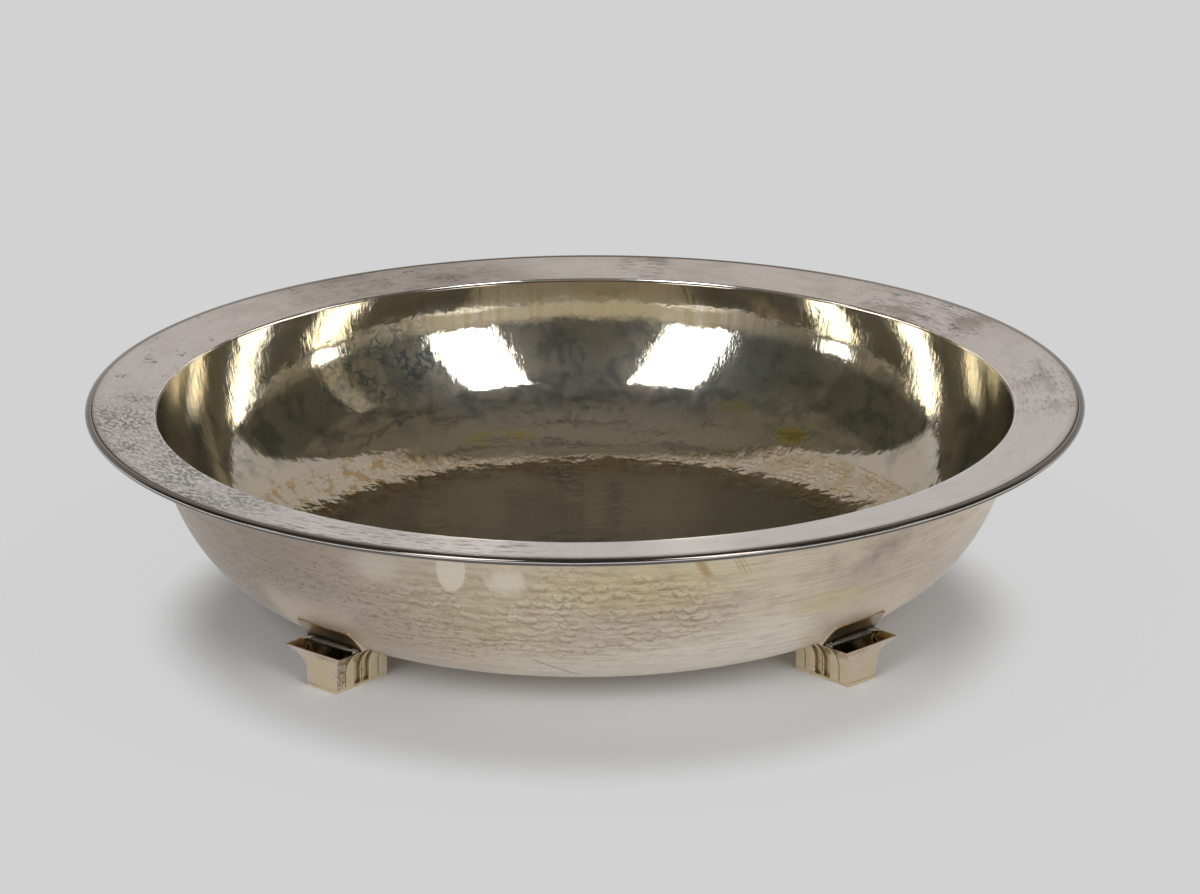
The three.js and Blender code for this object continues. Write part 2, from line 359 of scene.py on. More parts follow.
def mouth_radius(sizes):
    """The radius of the body's outside at the mouth."""
    return sizes.rim_radius - sizes.rim_width + sizes.wall


def rim_face(sizes, radius):
    """The height of the rim's upper face at a radius."""
    inner = sizes.rim_radius - sizes.rim_width
    return sizes.height - sizes.rim_rise * (1 - (radius - inner) / sizes.rim_width)


def body_line(sizes, offset, top, steps):
    """The body's outer profile from a height down to the axis, moved outwards by an offset."""
    radius = mouth_radius(sizes) + offset
    depth = sizes.height - sizes.base_clearance + offset
    first_turn = asin(((sizes.height - top) / depth) ** (sizes.wall_roundness / 2))
    first = 1 - (1 - first_turn * 2 / pi) ** (2 / sizes.base_flatness)
    points = []
    for i in range(steps + 1):
        share = first + (1 - first) * i / steps
        turn = pi / 2 * (1 - (1 - share) ** (sizes.base_flatness / 2))
        across = radius * max(0.0, cos(turn)) ** (2 / sizes.base_flatness)
        drop = depth * sin(turn) ** (2 / sizes.wall_roundness)
        points.append(Vector((across, 0.0, sizes.height - drop)))
    points[-1].x = 0.0
    return points


def arc(middle, radius, start, end, steps):
    """Points of an arc in the upright plane through the axis."""
    points = []
    for i in range(steps + 1):
        turn = start + (end - start) * i / steps
        points.append(middle + Vector((radius * cos(turn), 0.0, radius * sin(turn))))
    return points


# Finishes


class Recipe:
    """A tree of shader nodes and short words for its usual steps."""

    def __init__(self, tree):
        self.tree = tree
        self.place = self.add("ShaderNodeTexCoord").outputs["Object"]

    def add(self, kind, **settings):
        """A new node with its settings."""
        node = self.tree.nodes.new(kind)
        for key, value in settings.items():
            setattr(node, key, value)
        return node

    def feed(self, socket, value):
        """Links a socket to another one, or sets it."""
        if isinstance(value, bpy.types.NodeSocket):
            self.tree.links.new(value, socket)
        else:
            socket.default_value = value

    def sums(self, operation, first, second=0.0, third=0.0):
        """Arithmetic on numbers."""
        node = self.add("ShaderNodeMath", operation=operation)
        for socket, value in zip(node.inputs, (first, second, third)):
            self.feed(socket, value)
        return node.outputs[0]

    def times(self, first, *others):
        """The product of several numbers."""
        for other in others:
            first = self.sums("MULTIPLY", first, other)
        return first

    def moves(self, operation, first, second=(0.0, 0.0, 0.0)):
        """Arithmetic on places."""
        node = self.add("ShaderNodeVectorMath", operation=operation)
        self.feed(node.inputs[0], first)
        self.feed(node.inputs[1], second)
        return node.outputs["Value" if operation in ("LENGTH", "DOT_PRODUCT") else "Vector"]

    def split(self, place):
        """The three numbers of a place."""
        node = self.add("ShaderNodeSeparateXYZ")
        self.feed(node.inputs[0], place)
        return node.outputs

    def join(self, x, y, z):
        """A place from three numbers."""
        node = self.add("ShaderNodeCombineXYZ")
        for socket, value in zip(node.inputs, (x, y, z)):
            self.feed(socket, value)
        return node.outputs[0]

    def noise(self, place, scale, detail=2.0, roughness=0.5, distortion=0.0, output=0):
        """Cloudy noise between 0 and 1."""
        node = self.add("ShaderNodeTexNoise")
        self.feed(node.inputs["Vector"], place)
        node.inputs["Scale"].default_value = scale
        node.inputs["Detail"].default_value = detail
        node.inputs["Roughness"].default_value = roughness
        node.inputs["Distortion"].default_value = distortion
        return node.outputs[output]

    def cloud(self, scale, detail=2.0, roughness=0.5, distortion=0.0):
        """Cloudy noise over the whole piece."""
        return self.noise(self.place, scale, detail, roughness, distortion)

    def cells(self, place, scale, feature="DISTANCE_TO_EDGE", randomness=1.0, flat=False):
        """A pattern of cells, with its outputs."""
        node = self.add("ShaderNodeTexVoronoi", feature=feature)
        node.voronoi_dimensions = "2D" if flat else "3D"
        self.feed(node.inputs["Vector"], place)
        node.inputs["Scale"].default_value = scale
        node.inputs["Randomness"].default_value = randomness
        return node.outputs

    def ease(self, value, low, high, start=0.0, end=1.0):
        """Takes a value smoothly from start at low to end at high."""
        node = self.add("ShaderNodeMapRange", interpolation_type="SMOOTHSTEP")
        self.feed(node.inputs["Value"], value)
        node.inputs["From Min"].default_value = low
        node.inputs["From Max"].default_value = high
        node.inputs["To Min"].default_value = start
        node.inputs["To Max"].default_value = end
        return node.outputs["Result"]

    def fade(self, value, low, high):
        """Takes a value smoothly from 1 at low to 0 at high."""
        return self.ease(value, low, high, 1.0, 0.0)

    def band(self, value, start, full, ebb, end):
        """1 between full and ebb, and 0 outside start and end."""
        return self.times(self.ease(value, start, full), self.fade(value, ebb, end))

    def shader(self, kind, colour):
        """A plain shader in one colour."""
        node = self.add(kind)
        self.feed(node.inputs["Color"], self.whole(colour))
        return node.outputs[0]

    def mix(self, share, first, second):
        """A shader between two shaders."""
        node = self.add("ShaderNodeMixShader")
        self.feed(node.inputs["Fac"], share)
        self.feed(node.inputs[1], first)
        self.feed(node.inputs[2], second)
        return node.outputs[0]

    def ease_straight(self, value, low, high):
        """Takes a value evenly from 0 at low to 1 at high."""
        node = self.add("ShaderNodeMapRange")
        self.feed(node.inputs["Value"], value)
        node.inputs["From Min"].default_value = low
        node.inputs["From Max"].default_value = high
        return node.outputs["Result"]

    def blend(self, share, first, second):
        """A colour between two colours."""
        node = self.add("ShaderNodeMix", data_type="RGBA")
        self.feed(node.inputs[0], share)
        self.feed(node.inputs[6], self.whole(first))
        self.feed(node.inputs[7], self.whole(second))
        return node.outputs[2]

    def between(self, share, first, second):
        """A number between two numbers."""
        node = self.add("ShaderNodeMix", data_type="FLOAT")
        self.feed(node.inputs[0], share)
        self.feed(node.inputs[2], first)
        self.feed(node.inputs[3], second)
        return node.outputs[0]

    @staticmethod
    def whole(value):
        """A colour with its fourth number."""
        if isinstance(value, bpy.types.NodeSocket):
            return value
        return (*value, 1.0)

    def patch(self, middle, reach, soft=1.0):
        """1 at a place of the piece, fading to 0 at its reach along each axis."""
        away = self.moves("SUBTRACT", self.place, middle)
        share = self.moves("LENGTH", self.moves("DIVIDE", away, reach))
        return self.ease(share, 1.0 - soft, 1.0, 1.0, 0.0)

    def over(self, *masks):
        """The largest of several masks."""
        first = masks[0]
        for mask in masks[1:]:
            first = self.sums("MAXIMUM", first, mask)
        return first


class Finish(Recipe):
    """A metal material with its recipe."""

    def __init__(self, name):
        self.material = bpy.data.materials.new(name)
        self.material.use_nodes = True
        super().__init__(self.material.node_tree)
        self.metal = self.tree.nodes["Principled BSDF"]
        self.metal.inputs["Metallic"].default_value = 1.0

    def bump(self, height, depth, normal=None):
        """Raises the surface by a height pattern of a given depth."""
        node = self.add("ShaderNodeBump")
        node.inputs["Strength"].default_value = 1.0
        node.inputs["Distance"].default_value = depth
        self.feed(node.inputs["Height"], height)
        if normal is not None:
            self.feed(node.inputs["Normal"], normal)
        return node.outputs[0]

    def end(self, base, roughness, normal):
        """Feeds the shader and hands over the material."""
        self.feed(self.metal.inputs["Base Color"], base)
        self.feed(self.metal.inputs["Roughness"], roughness)
        self.feed(self.metal.inputs["Normal"], normal)
        return self.material

    def haze(self, share, roughness, base, normal):
        """Lays a share of a much softer reflection over the shader."""
        soft = self.add("ShaderNodeBsdfPrincipled")
        soft.inputs["Metallic"].default_value = 1.0
        soft.inputs["Roughness"].default_value = roughness
        self.feed(soft.inputs["Base Color"], base)
        self.feed(soft.inputs["Normal"], normal)
        both = self.mix(share, self.metal.outputs[0], soft.outputs[0])
        self.feed(self.tree.nodes["Material Output"].inputs["Surface"], both)


def streaks(finish, along, turns, lines, detail, roughness):
    """Noise drawn out round the bowl, which changes fast along its profile."""
    x, y, z = finish.split(finish.place)
    ring = finish.moves("NORMALIZE", finish.join(x, y, 0.0))
    spread = finish.moves("MULTIPLY", ring, (turns, turns, turns))
    place = finish.moves("ADD", spread, finish.join(0.0, 0.0, finish.times(along, lines)))
    return finish.noise(place, 1.0, detail, roughness)


def radius_of(finish):
    """The distance from the bowl's axis."""
    x, y, z = finish.split(finish.place)
    return finish.moves("LENGTH", finish.join(x, y, 0.0))


def inside_silver(colours):
    """Glossy silver under a yellow film, uneven from the hammer, with slate and brown stains."""
    finish = Finish("Inside Silver")
    x, y, z = finish.split(finish.place)
    clouds = finish.cloud(26.0, 4.0, 0.6)
    wall = finish.ease(z, 0.025, 0.055)
    runs = streaks(finish, z, 52.0, 14.0, 3.0, 0.6)
    film = finish.times(finish.ease(clouds, 0.36, 0.66), finish.ease(z, 0.015, 0.06))
    film = finish.over(film, finish.times(finish.ease(runs, 0.42, 0.62), wall))
    base = finish.blend(finish.times(film, 0.8), colours.inside, colours.inside_tarnish)
    mottle = finish.cloud(75.0, 5.0, 0.65, 0.4)
    belt = finish.band(z, 0.016, 0.032, 0.054, 0.066)
    mottled = finish.times(finish.ease(mottle, 0.46, 0.62), belt, 0.6)
    shaken = finish.noise(finish.place, 160.0, 3.0, output="Color")
    shake = finish.moves("SUBTRACT", shaken, (0.5, 0.5, 0.5))
    shake = finish.moves("MULTIPLY", shake, (0.007, 0.007, 0.007))
    bent = finish.moves("ADD", finish.place, shake)
    facets = finish.cells(bent, 190.0, "DISTANCE_TO_EDGE", 0.8)["Distance"]
    patchy = finish.ease(finish.cloud(120.0, 3.0, 0.6), 0.38, 0.58)
    seams = finish.times(finish.fade(facets, 0.04, 0.22), patchy)
    net = finish.patch((-0.083, 0.142, 0.05), (0.042, 0.04, 0.022), 0.5)
    mottled = finish.over(mottled, finish.times(seams, net, 0.95))
    right_net = finish.patch((0.085, 0.145, 0.048), (0.055, 0.05, 0.02), 0.6)
    mottled = finish.over(mottled, finish.times(right_net, 0.6), finish.times(seams, right_net, 0.8))
    base = finish.blend(mottled, base, colours.inside_slate)
    aside = finish.sums("ABSOLUTE", x)
    top = finish.ease(aside, 0.03, 0.1, 0.0122, 0.0205)
    fold = finish.times(
        finish.ease(z, 0.0065, 0.0085),
        finish.fade(finish.sums("SUBTRACT", z, top), -0.0015, 0.0005),
        finish.ease(y, 0.02, 0.06),
    )
    edges = hammer_rows(finish, finish.sums("ADD", z, radius_of(finish)), 38.0, 270.0)[0]
    spots = finish.ease(finish.cloud(170.0, 4.0, 0.62), 0.5, 0.6)
    left = finish.ease(x, -0.03, -0.07)
    tan = finish.over(edges, finish.times(patchy, 0.45))
    tan = finish.times(tan, finish.ease(x, -0.1, -0.06, 0.35, 0.95))
    stained = finish.times(fold, finish.over(finish.times(spots, left, 0.85), tan))
    base = finish.blend(stained, base, colours.stain)
    leaf = finish.patch((0.091, 0.118, 0.023), (0.011, 0.009, 0.004), 0.4)
    smear = finish.patch((-0.035, 0.137, 0.0175), (0.022, 0.012, 0.0035), 0.7)
    low_leaf = finish.patch((0.066, 0.139, 0.030), (0.012, 0.009, 0.003), 0.6)
    yellow = finish.over(
        leaf, finish.times(low_leaf, 0.6), finish.times(smear, finish.ease(mottle, 0.4, 0.6))
    )
    base = finish.blend(finish.times(yellow, 0.75), base, colours.inside_yellow)
    specks = finish.cloud(150.0, 3.0, 0.65)
    base = finish.blend(finish.ease(specks, 0.62, 0.75, 0.0, 0.35), base, colours.brown)
    wiped = streaks(finish, z, 7.0, 60.0, 3.0, 0.6)
    roughness = finish.ease(wiped, 0.35, 0.75, 0.03, 0.09)
    dimples = finish.cells(bent, 165.0, "F1", 0.85)["Distance"]
    normal = finish.bump(finish.cloud(45.0, 1.0, 0.4), 0.00017)
    normal = finish.bump(finish.cloud(130.0, 2.0, 0.5), 0.00006, normal)
    deep = finish.ease(z, 0.022, 0.03, 1.0, 0.25)
    normal = finish.bump(finish.times(dimples, deep), 0.00011, normal)
    ripples = streaks(finish, z, 75.0, 130.0, 4.0, 0.65)
    normal = finish.bump(finish.times(ripples, wall), 0.000045, normal)
    finish.haze(0.075, 0.3, base, normal)
    return finish.end(base, roughness, normal)


def hammer_rows(finish, along, marks_round, rows):
    """Rows of overlapping hammer marks: the dark lower edge and the pale crown of each mark."""
    x, y, z = finish.split(finish.place)
    turn = finish.sums("ARCTAN2", x, finish.times(y, -1.0))
    sway = finish.cloud(rows * 0.35, 3.0, 0.55)
    lift = finish.cloud(rows * 0.45, 3.0, 0.55)
    height = finish.sums("MULTIPLY_ADD", along, rows, finish.times(lift, 2.0))
    row = finish.sums("FLOOR", height)
    sideways = finish.sums("MULTIPLY_ADD", turn, marks_round, finish.times(sway, 2.6))
    sideways = finish.sums("MULTIPLY_ADD", row, 0.5, sideways)
    column = finish.sums("FLOOR", sideways)
    aside = finish.sums("SUBTRACT", finish.sums("FRACT", sideways), 0.5)
    above = finish.sums("SUBTRACT", finish.sums("FRACT", height), finish.times(aside, aside, 1.7))
    chance = finish.add("ShaderNodeTexWhiteNoise", noise_dimensions="2D")
    finish.feed(chance.inputs["Vector"], finish.join(column, row, 0.0))
    chosen = finish.ease(chance.outputs["Value"], 0.1, 0.8, 0.1, 1.0)
    slanted = finish.sums("MULTIPLY_ADD", aside, 0.35, above)
    edge = finish.times(finish.ease(slanted, -0.25, 0.1), finish.fade(slanted, 0.14, 0.55), chosen)
    crown = finish.band(above, 0.2, 0.55, 0.8, 1.0)
    return edge, finish.times(crown, chosen)


def long_scratch(finish):
    """The thin dark scratch that slants down the front of the body."""
    x, y, z = finish.split(finish.place)
    slant = radians(-30)
    from_middle = (finish.sums("ADD", x, 0.0145), finish.sums("SUBTRACT", z, 0.0205))
    along = finish.sums(
        "ADD", finish.times(from_middle[0], cos(slant)), finish.times(from_middle[1], sin(slant))
    )
    off = finish.sums(
        "SUBTRACT", finish.times(from_middle[1], cos(slant)), finish.times(from_middle[0], sin(slant))
    )
    wander = finish.cloud(250.0, 2.0, 0.5)
    off = finish.sums("MULTIPLY_ADD", finish.sums("SUBTRACT", wander, 0.5), 0.0008, off)
    return finish.times(
        finish.fade(finish.sums("ABSOLUTE", off), 0.00008, 0.0003),
        finish.fade(finish.sums("ABSOLUTE", along), 0.009, 0.0115),
        finish.fade(y, -0.1, -0.09),
    )


def outside_silver(colours, sizes):
    """Satin silver with brush lines, rows of hammer marks, films and stains, painted shade at its left,
    and painted light low on the front and above the feet.
    """
    finish = Finish("Outside Silver")
    x, y, z = finish.split(finish.place)
    along = finish.sums("ADD", z, radius_of(finish))
    lines = streaks(finish, along, 5.0, 1300.0, 3.0, 0.7)
    strokes = streaks(finish, along, 16.0, 380.0, 4.0, 0.65)
    clouds = finish.cloud(22.0, 4.0, 0.6)
    base = finish.blend(finish.ease(clouds, 0.42, 0.6, 0.0, 0.8), colours.outside, colours.outside_pink)
    # Painted light: the lower front is painted paler, partly clean silver, partly the floor's reflection
    # painted in.
    cream = finish.patch((0.045, -0.15, 0.022), (0.11, 0.09, 0.03), 0.7)
    base = finish.blend(finish.times(cream, 0.9), base, colours.outside_cream)
    gold = finish.over(
        finish.patch((0.016, -0.17, 0.06), (0.062, 0.05, 0.016), 0.8),
        finish.patch((0.093, -0.135, 0.042), (0.026, 0.05, 0.008), 0.7),
        finish.times(finish.patch((0.128, -0.10, 0.036), (0.014, 0.03, 0.006), 0.8), 0.7),
    )
    gold = finish.times(gold, finish.ease(strokes, 0.3, 0.6, 0.95, 0.6))
    base = finish.blend(gold, base, colours.outside_gold)
    # Painted shade: the body's left side is darkened towards this colour, partly tarnish, partly for the
    # weaker light there.
    shade = finish.fade(finish.sums("MULTIPLY_ADD", clouds, 0.04, x), -0.105, 0.0)
    base = finish.blend(finish.times(shade, 0.85), base, colours.outside_tarnish_and_shade)
    mauve = finish.times(
        finish.patch((0.098, -0.135, 0.06), (0.05, 0.05, 0.012), 0.8), finish.ease(clouds, 0.4, 0.6)
    )
    base = finish.blend(finish.times(mauve, 0.8), base, colours.outside_tarnish_and_shade)
    right = finish.patch((0.115, -0.125, 0.05), (0.06, 0.08, 0.035), 0.9)
    base = finish.blend(finish.times(right, 0.3), base, colours.outside_tarnish_and_shade)
    tongue = finish.patch((-0.053, -0.163, 0.066), (0.0058, 0.03, 0.0105), 0.15)
    ragged = finish.cloud(130.0, 4.0, 0.62)
    fuzzy = finish.sums("MULTIPLY_ADD", finish.sums("ADD", ragged, strokes), 1.1, -1.1)
    blot = finish.patch((-0.033, -0.168, 0.062), (0.014, 0.03, 0.0095), 1.0)
    side_blot = finish.patch((-0.081, -0.151, 0.0625), (0.016, 0.03, 0.010), 0.9)
    blots = finish.ease(finish.sums("ADD", blot, fuzzy), 0.35, 0.6)
    pale = finish.over(
        finish.times(tongue, 0.6), finish.times(blots, 0.5), finish.times(side_blot, 0.35)
    )
    clean = finish.sums("SUBTRACT", 1.0, finish.over(tongue, blot, finish.times(side_blot, 0.8)))
    front = finish.patch((-0.012, -0.165, 0.048), (0.085, 0.07, 0.026), 0.45)
    elsewhere = finish.ease(clouds, 0.48, 0.7, 0.0, 0.4)
    edges, crowns = hammer_rows(finish, along, 31.0, 215.0)
    region = finish.sums("MULTIPLY_ADD", front, 0.85, finish.times(elsewhere, 0.4))
    region = finish.times(region, clean)
    broken = finish.ease(streaks(finish, along, 60.0, 700.0, 4.0, 0.65), 0.3, 0.55)
    marks = finish.times(edges, broken, region)
    flecks = streaks(finish, along, 55.0, 620.0, 4.0, 0.7)
    worn = finish.patch((-0.105, -0.13, 0.042), (0.085, 0.09, 0.03), 0.6)
    low_left = finish.patch((-0.055, -0.15, 0.034), (0.05, 0.05, 0.018), 0.7)
    flecked = finish.times(
        finish.ease(flecks, 0.53, 0.63),
        finish.over(worn, low_left, finish.times(front, 0.45), finish.times(elsewhere, 0.4)),
        clean,
    )
    film = finish.times(region, finish.ease(strokes, 0.38, 0.62, 0.3, 1.0), 0.45)
    base = finish.blend(film, base, colours.stain)
    base = finish.blend(finish.ease(strokes, 0.46, 0.72, 0.0, 0.2), base, colours.brown)
    base = finish.blend(finish.ease(lines, 0.42, 0.68, 0.0, 0.2), base, colours.brown)
    pale = finish.over(pale, finish.times(crowns, region, 0.35))
    base = finish.blend(pale, base, colours.outside_cream)
    scribble = finish.cells(finish.place, 120.0, "DISTANCE_TO_EDGE", 1.0)["Distance"]
    scribble = finish.times(
        finish.fade(scribble, 0.008, 0.03),
        finish.patch((-0.016, -0.166, 0.047), (0.034, 0.04, 0.014), 0.5),
        broken,
    )
    base = finish.blend(finish.times(scribble, 0.5), base, colours.outside_cream)
    bend = finish.sums("MULTIPLY_ADD", finish.sums("SUBTRACT", z, 0.066), 0.5, x)
    first = finish.sums("ABSOLUTE", finish.sums("SUBTRACT", bend, 0.0402))
    second = finish.sums("ABSOLUTE", finish.sums("SUBTRACT", bend, 0.0545))
    runs = finish.over(
        finish.fade(first, 0.0006, 0.0022),
        finish.ease(finish.sums("PINGPONG", second, 0.0009), 0.0002, 0.0006, 0.7, 0.0),
    )
    both = finish.times(
        finish.ease(bend, 0.0378, 0.0384),
        finish.fade(bend, 0.0560, 0.0566),
        finish.over(finish.fade(bend, 0.0425, 0.0430), finish.ease(bend, 0.0524, 0.0528)),
    )
    runs = finish.times(runs, both)
    upper = finish.ease(z, 0.0615, 0.0635)
    runs = finish.times(runs, upper, finish.fade(y, -0.1, -0.09))
    runs = finish.times(runs, finish.ease(lines, 0.3, 0.5, 0.5, 1.0))
    base = finish.blend(finish.times(runs, 0.75), base, colours.stain)
    dirt = finish.over(
        finish.times(marks, 0.52), finish.times(flecked, 0.62), finish.times(long_scratch(finish), 0.8)
    )
    base = finish.blend(dirt, base, colours.outside_dirt)
    outwards, aside, z = foot_place(finish, sizes)
    # Painted light: the body is painted paler above each foot, covering the feet's shade and dark
    # reflection, and made rougher as frost.
    frost_and_painted_light = finish.times(
        finish.ease(outwards, -0.004, 0.006),
        finish.fade(aside, 0.017, 0.034),
        finish.fade(z, 0.030, 0.048),
    )
    base = finish.blend(finish.times(frost_and_painted_light, 0.6), base, colours.outside_frost_and_light)
    roughness = finish.between(dirt, finish.ease(lines, 0.3, 0.7, 0.27, 0.4), 0.5)
    roughness = finish.between(frost_and_painted_light, roughness, 0.6)
    normal = finish.bump(finish.cloud(40.0, 1.0, 0.4), 0.00025)
    normal = finish.bump(finish.times(crowns, region), 0.00001, normal)
    normal = finish.bump(lines, 0.000012, normal)
    return finish.end(base, roughness, normal)


def rim_silver(colours):
    """Satin silver with dark speckled wear, drawn scratches and mauve clouds, and painted shade along the
    wire and towards the back.
    """
    finish = Finish("Rim Silver")
    x, y, z = finish.split(finish.place)
    across = radius_of(finish)
    clouds = finish.cloud(30.0, 5.0, 0.65)
    drift = streaks(finish, across, 7.0, 110.0, 5.0, 0.68)
    cloudy = finish.ease(finish.sums("ADD", clouds, drift), 0.9, 1.22)
    back_left = finish.patch((-0.085, 0.168, 0.08), (0.085, 0.06, 0.05), 0.7)
    back = finish.over(
        back_left,
        finish.patch((0.03, 0.19, 0.08), (0.016, 0.03, 0.05), 0.6),
        finish.patch((0.15, 0.115, 0.08), (0.05, 0.06, 0.05), 0.7),
        finish.times(finish.patch((0.186, 0.0, 0.08), (0.03, 0.06, 0.05), 0.7), 0.75),
    )
    # More of the mauve towards the back: the back half is painted darker, partly film, partly painted
    # shade.
    share = finish.over(finish.times(back, 0.95), finish.ease(y, 0.0, 0.15, 0.12, 0.3))
    base = finish.blend(finish.times(cloudy, share), colours.rim, colours.rim_shade)
    base = finish.blend(finish.times(back_left, 0.6), base, colours.rim_shade)
    grain = streaks(finish, across, 60.0, 700.0, 4.0, 0.78)
    left = finish.patch((-0.158, -0.075, 0.08), (0.085, 0.12, 0.05), 0.55)
    thick = finish.ease(finish.cloud(55.0, 3.0, 0.6), 0.4, 0.58, 0.5, 1.0)
    speckled = finish.times(finish.ease(grain, 0.44, 0.55), left, thick)
    clusters = finish.ease(finish.cloud(85.0, 2.0, 0.5), 0.55, 0.68)
    flecks = finish.ease(finish.cloud(520.0, 3.0, 0.65), 0.52, 0.6)
    wide_left = finish.patch((-0.17, 0.02, 0.08), (0.06, 0.13, 0.05), 0.5)
    clustered = finish.times(clusters, flecks, finish.over(wide_left, back))
    scratches = streaks(finish, across, 24.0, 800.0, 5.0, 0.7)
    front_left = finish.patch((-0.075, -0.172, 0.08), (0.085, 0.05, 0.05), 0.6)
    scratched = finish.times(
        finish.ease(scratches, 0.52, 0.61), finish.over(front_left, finish.times(back, 0.6), 0.1)
    )
    dirt = finish.over(
        finish.times(speckled, 0.9), finish.times(clustered, 0.9), finish.times(scratched, 0.9)
    )
    base = finish.blend(dirt, base, colours.slate)
    # Painted shade in the groove where the plate meets the wire, partly dirt in the seam, fainter towards
    # the back.
    seam_dirt_and_shade = finish.over(
        finish.ease(across, 0.1960, 0.1968, 0.0, 0.85), finish.ease(across, 0.193, 0.197, 0.0, 0.3)
    )
    seam_dirt_and_shade = finish.times(seam_dirt_and_shade, finish.ease(y, -0.06, 0.06, 1.0, 0.15))
    base = finish.blend(seam_dirt_and_shade, base, colours.brown)
    brush = streaks(finish, across, 8.0, 2500.0, 2.0, 0.6)
    satin = finish.ease(brush, 0.3, 0.7, 0.3, 0.42)
    roughness = finish.between(finish.ease(across, 0.1724, 0.1734), 0.12, satin)
    normal = finish.bump(finish.cloud(40.0, 1.0, 0.4), 0.0002)
    normal = finish.bump(scratches, 0.00002, normal)
    return finish.end(base, roughness, normal)


def wire_silver(colours):
    """A wire painted dark, with one bright line along it and paler towards the back: painted reflections
    of the dim room and of the pale floor, over real nicks.
    """
    finish = Finish("Wire Silver")
    across = radius_of(finish)
    x, y, z = finish.split(finish.place)
    nicks = streaks(finish, across, 40.0, 500.0, 3.0, 0.6)
    wander = finish.sums("MULTIPLY_ADD", finish.cloud(40.0, 2.0, 0.5), 0.0004, z)
    # Painted reflection: the wire stays bright in a thin band where it mirrors the pale floor, and it is
    # paler at the back.
    floor_reflection_line = finish.band(wander, 0.0806, 0.0807, 0.0809, 0.08105)
    back = finish.ease(y, -0.03, 0.06)
    clean = finish.over(floor_reflection_line, finish.times(back, 0.4))
    # Painted reflection: the rest of the wire is painted dark for the dim room it mirrors.
    painted_dark_reflection = finish.sums("MULTIPLY_ADD", clean, -0.95, 0.95)
    dirt = finish.over(finish.ease(nicks, 0.56, 0.7, 0.0, 0.4), painted_dark_reflection)
    base = finish.blend(dirt, colours.wire, colours.wire_painted_dark)
    normal = finish.bump(nicks, 0.000005)
    return finish.end(base, finish.ease(nicks, 0.35, 0.7, 0.07, 0.16), normal)


def foot_place(finish, sizes):
    """A place about the middle of its foot: outwards, to either side, and up."""
    x, y, z = finish.split(finish.place)
    x = finish.sums("ABSOLUTE", x)
    y = finish.sums("ABSOLUTE", y)
    outwards = finish.sums(
        "ADD", finish.times(x, sin(FOOT_SPREAD)), finish.times(y, cos(FOOT_SPREAD))
    )
    aside = finish.sums(
        "SUBTRACT", finish.times(x, cos(FOOT_SPREAD)), finish.times(y, sin(FOOT_SPREAD))
    )
    return finish.sums("SUBTRACT", outwards, sizes.reach), finish.sums("ABSOLUTE", aside), z


def crease(finish, reach, low, high, most):
    """How much darker a narrow corner of the surface is made, from how closed in it is."""
    hollow = finish.add("ShaderNodeAmbientOcclusion", samples=6)
    hollow.inputs["Distance"].default_value = reach
    return finish.ease(hollow.outputs["AO"], low, high, most, 0.0)


